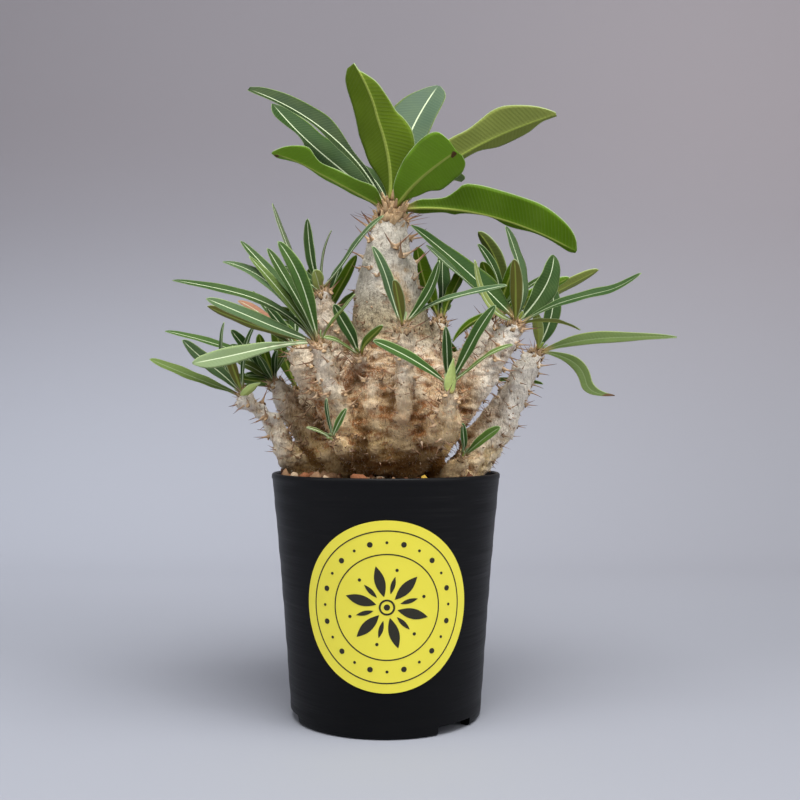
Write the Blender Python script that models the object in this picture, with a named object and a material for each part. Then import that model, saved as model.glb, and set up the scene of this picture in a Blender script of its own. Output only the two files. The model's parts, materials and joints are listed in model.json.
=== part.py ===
"""Potted pachypodium: a branching, spiny caudex with leaf rosettes, in a black plastic nursery pot.

Lengths are in millimetres and turn into Blender's metres where a mesh is made. The origin is the
centre of the pot's foot, +Z is up, and the side with the round label looks along -Y.
"""

import math
import random

import bmesh
import bpy
from mathutils import Matrix, Vector
from mathutils.bvhtree import BVHTree

MM = 0.001
SEED = 11
GAP = 0.35  # clearance between pieces that touch
GOLDEN_ANGLE = math.radians(137.5)
FRONT = Vector((0, -1, 0))

# Pot
POT_HEIGHT = 126.0
POT_SIDES = 40
RIM_RADIUS = 60.0
FOOT_RADIUS = 49.5
WALL = 1.8
RIM_THICKNESS = 2.4
RIM_BAND = 3.2
WALL_STATIONS = (42.0, 84.0)  # heights of the rings between foot and rim
FLOOR_UNDERSIDE = 4.0
FLOOR_TOP = 6.0
FOOT_ROUNDING = 2.5
NOTCH_HEIGHT = 3.0
NOTCH_WIDTH = 23.0
NOTCH_ANGLES = (45.0, 165.0, 285.0)  # degrees round from the front, towards +X
DRAIN_RADIUS = 4.5
DRAIN_RING_RADIUS = 27.0
DRAIN_COUNT = 5
DRAIN_SIDES = 8
PAD_RADIUS = 12.0
PAD_SIDES = 9

# Label
LABEL_RADIUS = 41.5
LABEL_HEIGHT = 64.6
LABEL_THICKNESS = 0.4
LABEL_STRIPS = 24

# Soil
SOIL_TOP = 121.0
SOIL_RINGS = 4
SOIL_RELIEF = 1.1
PEBBLE_COUNT = 17
PEBBLE_SIZE = (2.2, 4.6)

# Caudex skin
VOXEL = 2.2
SKIN_SMOOTHING = 5
SKIN_TRIANGLES = 2300
TUBE_SIDES = 14
TIP_ALLOWANCE = 0.5  # smoothing takes about this much off every radius

# Spines
SPINE_AREA = 365.0  # one pair of spines for each of this many square millimetres of skin
SPINE_LENGTH = (4.0, 9.0)
SPINE_SPREAD = 0.55
SPINE_RISE = 0.2
SPINE_ROOT = 1.35
SPINE_SINK = 1.6
SPINE_CLEAR_OF_SOIL = 5.0

# Leaves
BLADE_STATIONS = (0.0, 0.16, 0.38, 0.64, 0.87)
LARGE_BLADE_STATIONS = (0.0, 0.1, 0.22, 0.35, 0.5, 0.65, 0.79, 0.92)
LARGE_BLADE_WIDTH = 11.5
WIDEST = 0.56  # share of the length at which a blade is widest
KEEL = 1.5  # thickness at the midrib
FOLD = 0.22  # how far the margins rise above the midrib, per half width
PETIOLE_WIDTH = 2.4
ROOT_LIFT = 2.2  # how far above the stem's cut end the lowest leaf springs
CLEARANCE = 0.5
NUDGE_TURNS = (0, 5, -5, 10, -10, 16, -16, 23, -23, 31, -31)  # degrees about the stem's axis
NUDGE_LIFTS = (0, 5, -5, 10, -10, 17)  # degrees towards the stem's axis

# Stems, root to tip: x, y, z and radius
STEMS = {
    "trunk": (
        (1, 2, 78, 5), (2, 2, 96, 15), (4, 1, 114, 21), (5, 0, 126, 24), (6, -2, 136, 33),
        (6, -2, 150, 38.5), (5, -1, 164, 36), (4, 0, 178, 29.5), (3, 0, 192, 23.5),
        (2, 0, 206, 19.5), (2, 0, 224, 17), (2, 0, 242, 15.2), (3, 0, 254, 12.6), (3.5, 0, 262, 9.2),
    ),
    "low_left": (
        (-18, -2, 108, 10), (-38, -3, 120, 8.6), (-47, -4, 131, 7.2), (-53, -4, 141, 5.6),
        (-60, -5, 151, 4.7), (-66, -5, 158, 4.4), (-74, -5, 166, 4.2),
    ),
    "left_back": ((-20, 4, 120, 14), (-35, 6, 135, 11), (-48, 10, 152, 8), (-60, 12, 173, 4.8)),
    "left_middle": ((-12, -6, 150, 12), (-27, -7, 160, 8.6), (-37, -6, 174, 6.8), (-46, -5, 191, 5)),
    "left_front": ((-8, -18, 142, 11), (-20, -28, 154, 8.8), (-27, -33, 172, 7.2), (-32, -35, 190, 5.4)),
    "left_upper": ((-12, 2, 160, 10), (-24, 0, 186, 7), (-31, -2, 206, 5.6), (-34, -3, 220, 4.6)),
    "centre_front": ((6, -22, 150, 9), (8, -36, 164, 6.4), (9, -40, 182, 5.6), (9, -42, 198, 4.8)),
    "right_front": ((22, -24, 138, 9), (30, -38, 144, 6.2), (31, -45, 157, 4.8), (31, -46, 169, 4)),
    "right_mid": (
        (20, -4, 146, 13), (36, -5, 158, 9), (49, -8, 174, 7.2), (59, -10, 189, 6.4), (67, -12, 202, 5.2),
    ),
    "right_far": (
        (14, 4, 110, 14), (35, 7, 117, 11), (44.5, 9, 129, 10), (54, 11, 142, 9.2),
        (62, 12, 153, 8.4), (68, 12, 165, 7.2), (74, 12, 177, 6), (81, 12, 189, 4.6),
    ),
    "small_front": ((-8, -14, 162, 8), (-11, -23, 175, 5), (-12.5, -28, 185, 3.6)),
    "right_back": ((14, 14, 150, 11), (34, 24, 174, 8), (50, 32, 194, 6.4), (61, 36, 212, 4.8)),
    "behind_trunk": ((10, 12, 160, 10), (22, 24, 182, 6.6), (28, 31, 198, 5.2), (30, 33, 209, 4.4)),
    "back_left": ((-8, 12, 150, 11), (-22, 26, 170, 7.6), (-32, 36, 188, 6), (-38, 42, 203, 4.8)),
    "back_low_left": ((-12, 14, 136, 11), (-28, 28, 144, 8), (-41, 37, 155, 6.4), (-50, 44, 168, 4.8)),
    "back_middle": ((0, 18, 142, 12), (-1, 34, 156, 8.6), (-3, 44, 172, 6.6), (-4, 50, 190, 5)),
    "back_low_right": ((16, 14, 132, 12), (30, 32, 138, 9), (39, 44, 152, 7), (46, 52, 170, 5)),
    "sprout_left": ((-16, -24, 140, 8), (-21, -34, 140, 4), (-25, -41, 144, 2.6)),
    "sprout_right": ((28, -6, 122, 9), (37, -22, 127, 6), (39, -29, 135, 3)),
}

# Rosettes: the stem that carries each, its crown's radius, and its leaves' tips as x, y, z, blade
# width, facing, arch and bow. Facing is the share of the blade's width that its upper face turns
# to the front; it is negative where the underside shows. Arch (towards the stem's axis) and bow
# (to the left of the leaf, seen from the front) bend the midrib, as shares of the leaf's length.
ROSETTES = {
    "rosette_top": ("trunk", 6.5, (
        (-74, 4, 331, 14, 0.72, 0.19, 0),
        (-64, 26, 330, 17, 0.8, -0.04, 0),
        (-57, -30, 288, 12, -0.65, 0.02, 0),
        (-19, -24, 333, 26, -0.97, 0.03, -0.17),
        (29, 32, 342, 27, 0.95, 0.03, 0.11),
        (35, -44, 285, 28, -0.92, 0.03, 0.05),
        (87, -24, 309, 18, -0.88, 0.14, 0),
        (98, -18, 240, 16.5, -0.85, 0.16, 0),
        (-34, 62, 314, 22, None, 0.12, 0),
        (44, 66, 296, 21, None, 0.14, 0),
        (2, 78, 262, 18, None, 0.24, 0),
    )),
    "rosette_left_front": ("left_front", 3.8, (
        (-86, -50, 212, 9, 0.78, -0.03, 0),
        (-88, -36, 210, 9, -0.6, -0.06, 0),
        (-90, -62, 180, 9.5, 0.9, 0.04, 0),
        (-66, -46, 233, 6.5, 0.6, 0.03, 0),
        (-58, -40, 238, 8.5, 0.7, 0, -0.03),
        (-51, -54, 239, 9, 0.8, 0, -0.1),
        (-14, -60, 213, 5, 0.4, 0.03, 0),
        (-109, -20, 225, 8, 0.6, 0.17, 0),
        (-85, -10, 236, 8, 0.7, 0.2, 0),
        (-75, -15, 246, 7, 0.75, 0.08, 0),
    )),
    "rosette_left_upper": ("left_upper", 3.4, (
        (-63, 20, 273, 5, 0.4, 0, 0.14),
        (-41, -8, 259, 6, 0.85, 0, 0.1),
        (-30, 14, 257, 4.5, 0.4, 0, 0.1),
        (-1, -26, 257, 7, 0.55, 0.02, 0),
        (-62, 38, 240, 9, None, 0.10, 0),
    )),
    "rosette_centre_front": ("centre_front", 3.4, (
        (-28, -60, 212, 7, 0.72, 0.36, 0),
        (-6, -52, 237, 7, 0.72, 0.03, 0),
        (5, -66, 219, 6.2, -0.85, 0.02, 0),
        (26, -59, 229, 6.5, 0.75, 0, -0.17),
        (57, -68, 216, 6.5, 0.6, 0.12, 0),
    )),
    "rosette_right_front": ("right_front", 2.8, (
        (-5, -72, 190, 7.5, 0.82, 0.06, 0),
        (29, -56, 198, 5.2, 0.9, 0, 0),
        (52, -66, 207, 7.5, 0.85, 0.02, 0),
        (59, -74, 188, 5, 0.55, 0.06, 0),
        (33, -54, 183, 7, -0.9, 0, 0),
    )),
    "rosette_right_mid": ("right_mid", 3.8, (
        (44, -42, 232, 6, 0.7, 0, 0.28),
        (64, -38, 233, 7, -0.88, 0, 0),
        (62, -14, 254, 9, 0.68, 0, -0.2),
        (90, 6, 242, 12, 0.9, 0, -0.16),
        (128, -32, 227, 7, 0.5, 0, -0.04),
        (13, -26, 252, 9.5, 0.6, 0.04, 0),
        (100, -26, 208, 8, None, 0.14, 0),
    )),
    "rosette_right_far": ("right_far", 3.4, (
        (153, -5, 197, 8, 0.78, 0.09, 0),
        (117, -20, 166, 7, 0.88, 0.04, 0),
        (91, 20, 228, 10, 0.85, 0, -0.16),
        (113, 48, 206, 7, 0.5, 0.06, 0),
        (78, -14, 209, 5, -0.8, 0.03, 0),
    )),
    "rosette_low_left": ("low_left", 3.2, (
        (-122, -14, 185, 7, 0.6, 0, 0.04),
        (-103, -24, 194, 8.5, 0.7, 0.04, 0),
        (-87, 6, 206, 5, 0.7, 0, 0.26),
        (-80, -27, 190, 5.5, -0.85, 0.02, 0),
        (-67, -16, 203, 4.5, 0.7, 0, 0.12),
        (-63, -20, 171, 6, -0.8, 0.04, 0),
    )),
    "rosette_left_back": ("left_back", 3.6, (
        (-82, -2, 201, 9, 0.68, 0.03, 0),
        (-72, -10, 194, 9, 0.82, 0.03, 0),
        (-121, 16, 202, 8, 0.5, 0.16, 0),
        (-88, 34, 196, 9, None, 0.08, 0),
        (-74, 50, 184, 9, None, 0.12, 0),
    )),
    "rosette_left_middle": ("left_middle", 3.6, (
        (-79, 2, 217, 7.5, 0.7, 0.08, 0),
        (-73, 16, 224, 5, 0.6, 0.02, 0),
        (-68, 4, 206, 8, 0.8, 0.03, 0),
        (-50, 26, 222, 8, None, 0.04, 0),
        (-60, 14, 210, 7, 0.7, 0.02, 0),
    )),
    "rosette_small_front": ("small_front", 2.8, (
        (-27, -46, 208, 7.5, 0.88, 0.02, 0),
        (-29, -54, 193, 4.5, 0.6, 0.05, 0),
        (-1, -53, 199, 5, -0.75, 0, 0.06),
    )),
    "rosette_right_back": ("right_back", 3.8, (
        (52, 40, 261, 10, -0.85, 0.02, -0.28),
        (50, 18, 250, 8, 0.65, 0.02, -0.24),
        (52, 8, 239, 9, -0.8, 0.03, 0),
        (123, 52, 241, 10, -0.72, 0.03, -0.1),
        (103, 34, 234, 8, -0.75, 0.02, 0),
        (22, 22, 250, 8.5, 0.55, 0.03, 0),
        (84, 82, 226, 10, None, 0.12, 0),
    )),
    "rosette_behind_trunk": ("behind_trunk", 3.4, (
        (17, 26, 250, 11, -0.9, 0, 0.1),
        (32, 46, 250, 11, 0.85, 0.03, 0),
        (2, 58, 238, 10, None, 0.08, 0),
        (34, 76, 222, 9, None, 0.14, 0),
    )),
    "sprout_left_leaves": ("sprout_left", 2.2, (
        (-28, -50, 164, 3.4, 0.8, 0.02, 0),
        (-18, -55, 159, 4, 0.8, 0.02, 0),
        (-37, -56, 150, 3, 0.6, 0.06, 0),
    )),
    "sprout_right_leaves": ("sprout_right", 2.2, (
        (56, -46, 150, 6.5, 0.8, 0.02, 0),
        (38, -42, 152, 4, 0.8, 0.02, 0),
    )),
}

# Rosettes on the far side, set out by rule: stem, crown radius, number of leaves, leaf length, width
RULED_ROSETTES = {
    "rosette_back_left": ("back_left", 3.6, 6, (36, 50), (8, 11)),
    "rosette_back_low_left": ("back_low_left", 3.6, 5, (34, 46), (8, 10)),
    "rosette_back_middle": ("back_middle", 3.8, 6, (38, 52), (9, 11)),
    "rosette_back_low_right": ("back_low_right", 3.8, 6, (36, 50), (8, 11)),
}


def clear_scene():
    for obj in list(bpy.data.objects):
        bpy.data.objects.remove(obj)


def material(name, colour, roughness, metallic=0.0):
    made = bpy.data.materials.new(name)
    made.use_nodes = True
    shader = made.node_tree.nodes["Principled BSDF"]
    shader.inputs["Base Color"].default_value = (*colour, 1.0)
    shader.inputs["Roughness"].default_value = roughness
    shader.inputs["Metallic"].default_value = metallic
    return made


def add_solid(name, points, faces, look=None):
    """A mesh object from points in millimetres, with its faces turned outwards."""
    mesh = bpy.data.meshes.new(name)
    mesh.from_pydata([Vector(p) * MM for p in points], [], faces)
    tidy = bmesh.new()
    tidy.from_mesh(mesh)
    bmesh.ops.recalc_face_normals(tidy, faces=tidy.faces)
    tidy.to_mesh(mesh)
    tidy.free()
    if look:
        mesh.materials.append(look)
    obj = bpy.data.objects.new(name, mesh)
    bpy.context.scene.collection.objects.link(obj)
    return obj


def apply_modifiers(obj):
    graph = bpy.context.evaluated_depsgraph_get()
    mesh = bpy.data.meshes.new_from_object(obj.evaluated_get(graph))
    obj.modifiers.clear()
    obj.data = mesh


def combine(obj, operation, tools):
    """One Boolean of obj with all the tools, applied; the tools are then removed."""
    group = bpy.data.collections.new("tools")
    bpy.context.scene.collection.children.link(group)
    for tool in tools:
        group.objects.link(tool)
    boolean = obj.modifiers.new(operation.lower(), "BOOLEAN")
    boolean.operation = operation
    boolean.operand_type = "COLLECTION"
    boolean.collection = group
    boolean.solver = "EXACT"
    apply_modifiers(obj)
    for tool in tools:
        bpy.data.objects.remove(tool)
    bpy.data.collections.remove(group)


def revolve(name, profile, sides, look=None):
    """A turned solid from (radius, height) points. A radius of 0 is a pole."""
    points, rings = [], []
    for radius, height in profile:
        if radius == 0:
            rings.append([len(points)] * sides)
            points.append((0, 0, height))
            continue
        rings.append(list(range(len(points), len(points) + sides)))
        for i in range(sides):
            angle = 2 * math.pi * i / sides
            points.append((radius * math.cos(angle), radius * math.sin(angle), height))
    faces = []
    for below, above in zip(rings, rings[1:] + rings[:1]):
        for i in range(sides):
            j = (i + 1) % sides
            corners = [below[i], below[j], above[j], above[i]]
            face = [c for k, c in enumerate(corners) if c not in corners[:k]]
            if len(face) > 2:
                faces.append(face)
    return add_solid(name, points, faces, look)


def prism(name, sides, radius, low, high, centre=(0, 0)):
    """An upright prism, used as a cutter."""
    ring = [
        (centre[0] + radius * math.cos(2 * math.pi * i / sides),
         centre[1] + radius * math.sin(2 * math.pi * i / sides))
        for i in range(sides)
    ]
    points = [(x, y, low) for x, y in ring] + [(x, y, high) for x, y in ring]
    faces = [list(range(sides)), list(range(sides, 2 * sides))]
    faces += [[i, (i + 1) % sides, sides + (i + 1) % sides, sides + i] for i in range(sides)]
    return add_solid(name, points, faces)


def wall_radius(height):
    """The pot's outer radius: a straight taper that flares a little under the rim."""
    share = height / POT_HEIGHT
    return FOOT_RADIUS + (RIM_RADIUS - FOOT_RADIUS) * (0.84 * share + 0.16 * share**3)


def make_pot(look):
    """A turned shell with a rolled rim, a raised floor with drain holes, and a pad at its centre."""
    outside = [
        (FOOT_RADIUS - FOOT_ROUNDING, 0),
        (FOOT_RADIUS - 0.3 * FOOT_ROUNDING, 0.3 * FOOT_ROUNDING),
        (wall_radius(FOOT_ROUNDING), FOOT_ROUNDING),
    ]
    outside += [(wall_radius(h), h) for h in (*WALL_STATIONS, POT_HEIGHT - RIM_BAND)]
    outside += [(RIM_RADIUS, POT_HEIGHT - 0.7), (RIM_RADIUS - 0.7, POT_HEIGHT)]
    inside = [
        (RIM_RADIUS - RIM_THICKNESS + 0.5, POT_HEIGHT),
        (RIM_RADIUS - RIM_THICKNESS, POT_HEIGHT - 0.6),
    ]
    inside += [(wall_radius(h) - WALL, h) for h in (*reversed(WALL_STATIONS), FLOOR_TOP + 3)]
    inside += [(wall_radius(FLOOR_TOP) - WALL - 2.5, FLOOR_TOP), (0, FLOOR_TOP)]
    underside = [(0, FLOOR_UNDERSIDE), (FOOT_RADIUS - 6.5, FLOOR_UNDERSIDE), (FOOT_RADIUS - 5.5, 0)]
    pot = revolve("pot", outside + inside + underside, POT_SIDES, look)
    combine(pot, "DIFFERENCE", [notch_cutter(a) for a in NOTCH_ANGLES] + drain_cutters())
    combine(pot, "UNION", [prism("centre_pad", PAD_SIDES, PAD_RADIUS, 0, FLOOR_UNDERSIDE + 1)])
    return pot


def notch_cutter(degrees):
    """A block that opens the foot ring from outside, so that water can run out."""
    angle = math.radians(degrees)
    outward = Vector((math.sin(angle), -math.cos(angle), 0))
    along = Vector((-outward.y, outward.x, 0))
    corners = []
    for height in (-1.0, NOTCH_HEIGHT):
        for reach in (FOOT_RADIUS - 9, FOOT_RADIUS + 4):
            for side in (-NOTCH_WIDTH / 2, NOTCH_WIDTH / 2):
                corners.append(outward * reach + along * side + Vector((0, 0, height)))
    faces = [[0, 1, 3, 2], [4, 5, 7, 6], [0, 1, 5, 4], [2, 3, 7, 6], [0, 2, 6, 4], [1, 3, 7, 5]]
    return add_solid("notch_cutter", corners, faces)


def drain_cutters():
    made = []
    for i in range(DRAIN_COUNT):
        angle = 2 * math.pi * i / DRAIN_COUNT
        centre = (DRAIN_RING_RADIUS * math.cos(angle), DRAIN_RING_RADIUS * math.sin(angle))
        made.append(prism("drain_cutter", DRAIN_SIDES, DRAIN_RADIUS, 2, 8, centre))
    return made


def make_label(look):
    """A round sticker wrapped on the pot's front, in upright strips that follow its curve."""
    strips = [
        -LABEL_RADIUS * math.cos(math.pi * i / LABEL_STRIPS) for i in range(1, LABEL_STRIPS)
    ]
    columns = [(-LABEL_RADIUS, 0)]
    columns += [(u, math.sqrt(LABEL_RADIUS**2 - u * u)) for u in strips]
    columns += [(LABEL_RADIUS, 0)]

    def wrapped(along, up, lift):
        height = LABEL_HEIGHT + up
        radius = wall_radius(height) + GAP + lift
        angle = along / wall_radius(height)
        return (radius * math.sin(angle), -radius * math.cos(angle), height)

    points = []
    for along, half in columns:
        for lift in (0, LABEL_THICKNESS):
            points += [wrapped(along, -max(half, 0.4), lift), wrapped(along, max(half, 0.4), lift)]
    faces = [[0, 1, 3, 2]]
    for i in range(0, 4 * LABEL_STRIPS, 4):
        back_low, back_high, front_low, front_high = i, i + 1, i + 2, i + 3
        faces += [
            [back_low, back_low + 4, back_high + 4], [back_low, back_high + 4, back_high],
            [front_low, front_low + 4, front_high + 4], [front_low, front_high + 4, front_high],
            [back_low, back_low + 4, front_low + 4, front_low],
            [back_high, back_high + 4, front_high + 4, front_high],
        ]
    last = 4 * LABEL_STRIPS
    faces.append([last, last + 1, last + 3, last + 2])
    return add_solid("label", points, faces, look)


def curve_through(stations, steps):
    """Catmull-Rom points through stations of any dimension, with this many steps between two."""
    rows = [Vector(s) for s in stations]
    rows = [2 * rows[0] - rows[1]] + rows + [2 * rows[-1] - rows[-2]]
    made = []
    for a, b, c, d in zip(rows, rows[1:], rows[2:], rows[3:]):
        for i in range(steps):
            t = i / steps
            made.append(
                0.5 * (2 * b + (c - a) * t + (2 * a - 5 * b + 4 * c - d) * t * t
                       + (3 * b - a - 3 * c + d) * t**3)
            )
    made.append(rows[-2])
    return made


def any_square_to(direction):
    helper = Vector((1, 0, 0)) if abs(direction.x) < 0.8 else Vector((0, 1, 0))
    return direction.cross(helper).normalized()


def tube(name, path):
    """A closed tube through (x, y, z, radius) rows, with a rounded end at its tip."""
    centres = [Vector(row[:3]) for row in path]
    radii = [row[3] + TIP_ALLOWANCE for row in path]
    last = (centres[-1] - centres[-2]).normalized()
    for out, share in ((0.5, 0.86), (0.87, 0.5)):
        centres.append(centres[len(path) - 1] + last * radii[len(path) - 1] * out)
        radii.append(radii[len(path) - 1] * share)
    points, faces = [], []
    side = any_square_to((centres[1] - centres[0]).normalized())
    for i, (centre, radius) in enumerate(zip(centres, radii)):
        ahead = (centres[min(i + 1, len(centres) - 1)] - centres[max(i - 1, 0)]).normalized()
        side = (side - ahead * side.dot(ahead)).normalized()
        across = ahead.cross(side)
        for k in range(TUBE_SIDES):
            angle = 2 * math.pi * k / TUBE_SIDES
            points.append(centre + (side * math.cos(angle) + across * math.sin(angle)) * radius)
    for i in range(len(centres) - 1):
        for k in range(TUBE_SIDES):
            j = (k + 1) % TUBE_SIDES
            low, high = i * TUBE_SIDES, (i + 1) * TUBE_SIDES
            faces.append([low + k, low + j, high + j, high + k])
    faces.append(list(range(TUBE_SIDES)))
    faces.append(list(range(len(points) - TUBE_SIDES, len(points))))
    return add_solid(name, points, faces)


def make_skin(look):
    """All the stems grown into one body: overlapping tubes, remeshed, smoothed and thinned out."""
    tubes = [tube(name, curve_through(rows, 4)) for name, rows in STEMS.items()]
    joined = bmesh.new()
    for part in tubes:
        joined.from_mesh(part.data)
        bpy.data.objects.remove(part)
    mesh = bpy.data.meshes.new("caudex")
    joined.to_mesh(mesh)
    joined.free()
    mesh.materials.append(look)
    skin = bpy.data.objects.new("caudex", mesh)
    bpy.context.scene.collection.objects.link(skin)
    remesh = skin.modifiers.new("remesh", "REMESH")
    remesh.mode = "VOXEL"
    remesh.voxel_size = VOXEL * MM
    smooth = skin.modifiers.new("smooth", "SMOOTH")
    smooth.iterations = SKIN_SMOOTHING
    apply_modifiers(skin)
    thin = skin.modifiers.new("thin", "DECIMATE")
    thin.ratio = SKIN_TRIANGLES / (2 * len(skin.data.polygons))
    thin.use_collapse_triangulate = True
    apply_modifiers(skin)
    return skin


def tip_of(stem):
    """The end of a stem and the direction in which it grows there."""
    rows = STEMS[stem]
    end = Vector(rows[-1][:3])
    return end, (end - Vector(rows[-2][:3])).normalized()


def tip_cutter(stem):
    """A short prism that cuts a stem's end flat, where the leaves' crown sits."""
    end, axis = tip_of(stem)
    radius = STEMS[stem][-1][3] + 2.5
    side = any_square_to(axis)
    across = axis.cross(side)
    points = []
    for reach in (0, radius + 4):
        for k in range(8):
            angle = 2 * math.pi * k / 8
            points.append(end + axis * reach + (side * math.cos(angle) + across * math.sin(angle)) * radius)
    faces = [list(range(8)), list(range(8, 16))]
    faces += [[k, (k + 1) % 8, 8 + (k + 1) % 8, 8 + k] for k in range(8)]
    return add_solid("tip_cutter", points, faces)


def spine_sites(stem, skin_tree):
    """Places on a stem's skin, in a golden-angle spiral, as (point, outward, growth direction)."""
    path = curve_through(STEMS[stem], 8)
    sites, due, turn = [], 0.0, 0.0
    for before, row in zip(path, path[1:]):
        centre, start = Vector(row[:3]), Vector(before[:3])
        ahead = (centre - start).normalized()
        side = any_square_to(ahead)
        across = ahead.cross(side)
        due += 2 * math.pi * row[3] * (centre - start).length / SPINE_AREA
        while due >= 1:
            due -= 1
            turn += GOLDEN_ANGLE
            outward = side * math.cos(turn) + across * math.sin(turn)
            hit, normal, _, distance = skin_tree.ray_cast(centre * MM, outward)
            if hit and 0.5 * row[3] < distance / MM < 1.35 * row[3] + 1:
                sites.append((hit / MM, normal, ahead))
    return sites


def spine(point, direction, length):
    """A three-sided thorn, its root sunk in the skin."""
    side = any_square_to(direction)
    across = direction.cross(side)
    root = point - direction * SPINE_SINK
    points = [
        root + (side * math.cos(a) + across * math.sin(a)) * SPINE_ROOT
        for a in (0, 2 * math.pi / 3, 4 * math.pi / 3)
    ]
    points.append(point + direction * length)
    return add_solid("spine", points, [[0, 1, 2], [0, 1, 3], [1, 2, 3], [2, 0, 3]])


def spine_pair(point, outward, ahead, length):
    """Two thorns that part to either side of one swelling."""
    around = ahead.cross(outward).normalized()
    pair = []
    for sign in (-1, 1):
        direction = (outward + around * sign * SPINE_SPREAD + ahead * SPINE_RISE).normalized()
        pair.append(spine(point + around * sign * SPINE_ROOT, direction, length))
    return pair


def meets_crown(point):
    """Whether a spine's end lies too near the crown of any rosette."""
    carried = [row[:2] for row in (*ROSETTES.values(), *RULED_ROSETTES.values())]
    for stem, radius in carried:
        end, axis = tip_of(stem)
        if (point - end - axis * 0.6 * radius).length < 1.2 * radius + SPINE_ROOT:
            return True
    return False


def make_spines(skin):
    draw = random.Random(SEED)
    skin_tree = tree_of(skin)
    made = []
    for stem in STEMS:
        top = STEMS[stem][-1][2]
        for point, outward, ahead in spine_sites(stem, skin_tree):
            young = max(0.0, 1 - (top - point.z) / 45)
            length = SPINE_LENGTH[0] + (SPINE_LENGTH[1] - SPINE_LENGTH[0]) * young
            length *= draw.uniform(0.75, 1.15)
            end = point + (outward + ahead * SPINE_RISE) * length
            if point.z < SOIL_TOP + SPINE_CLEAR_OF_SOIL or end.z < POT_HEIGHT + 1:
                continue
            if not meets_crown(point) and not meets_crown(end):
                made += spine_pair(point, outward, ahead, length)
    return made


def tree_of(obj):
    shape = bmesh.new()
    shape.from_mesh(obj.data)
    tree = BVHTree.FromBMesh(shape)
    shape.free()
    return tree


def make_soil(skin, look):
    """Potting mix: a turned plug with a grainy top, pebbles set in it, and the hole the caudex fills."""
    draw = random.Random(SEED + 1)
    bottom = FLOOR_TOP + GAP

    def room(height):
        return wall_radius(height) * math.cos(math.pi / POT_SIDES) - WALL - GAP

    profile = [(0, bottom), (room(FLOOR_TOP) - 3.5, bottom), (room(FLOOR_TOP + 4), FLOOR_TOP + 4)]
    profile += [(room(h), h) for h in (*WALL_STATIONS, SOIL_TOP - 2)]
    rim = room(SOIL_TOP - 2) - 0.4
    profile += [(rim * (1 - i / SOIL_RINGS), SOIL_TOP) for i in range(SOIL_RINGS + 1)]
    soil = revolve("soil", profile, POT_SIDES, look)
    for vertex in soil.data.vertices:
        if vertex.co.z > (SOIL_TOP - 0.5) * MM:
            vertex.co.z += draw.uniform(-SOIL_RELIEF, SOIL_RELIEF) * MM
    skin_tree = tree_of(skin)
    combine(soil, "UNION", pebbles(draw, skin_tree, rim))
    hole = skin.copy()
    hole.data = skin.data.copy()
    normals = [vertex.normal.copy() for vertex in hole.data.vertices]
    for vertex, normal in zip(hole.data.vertices, normals):
        vertex.co += normal * (GAP + 0.25) * MM
    bpy.context.scene.collection.objects.link(hole)
    combine(soil, "DIFFERENCE", [hole])
    return soil


def pebbles(draw, skin_tree, rim):
    """Grains of gravel and bark, half sunk in the soil, clear of the caudex and the pot."""
    made, tries = [], 0
    while len(made) < PEBBLE_COUNT and tries < 400:
        tries += 1
        size = draw.uniform(*PEBBLE_SIZE)
        reach = rim * math.sqrt(draw.uniform(0.2, 1.0)) - size
        angle = draw.uniform(0, 2 * math.pi)
        centre = Vector((reach * math.cos(angle), reach * math.sin(angle), SOIL_TOP + 0.3 * size))
        if skin_tree.find_nearest(centre * MM)[3] < (size + 1.5) * MM:
            continue
        stone = bmesh.new()
        bmesh.ops.create_icosphere(stone, subdivisions=1, radius=size)
        turn = Matrix.Rotation(draw.uniform(0, math.pi), 3, "Z")
        for vertex in stone.verts:
            squashed = Vector((vertex.co.x, vertex.co.y * draw.uniform(0.6, 0.8), vertex.co.z * 0.6))
            vertex.co = turn @ squashed + centre
        faces = [[v.index for v in face.verts] for face in stone.faces]
        made.append(add_solid("pebble", [v.co.copy() for v in stone.verts], faces))
        stone.free()
    return made


def outline(share, large):
    """The blade's half width along its length, as a share of its largest half width."""
    past = max(0.0, (share - WIDEST) / (1 - WIDEST))
    if share < WIDEST:
        return math.sin(0.5 * math.pi * share / WIDEST) ** (1.2 if large else 0.9)
    return math.sqrt(1 - past**1.9) if large else math.cos(0.5 * math.pi * past) ** 0.6


def upper_side(chord, axis, facing):
    """The direction in which a blade's upper face looks."""
    along = chord.normalized()
    natural = (axis - along * axis.dot(along)).normalized()
    if facing is None:
        return natural
    front = (FRONT - along * FRONT.dot(along)).normalized()
    edge = along.cross(front)
    if edge.dot(natural) < 0:
        edge.negate()
    return front * facing + edge * math.sqrt(1 - facing**2)


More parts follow.
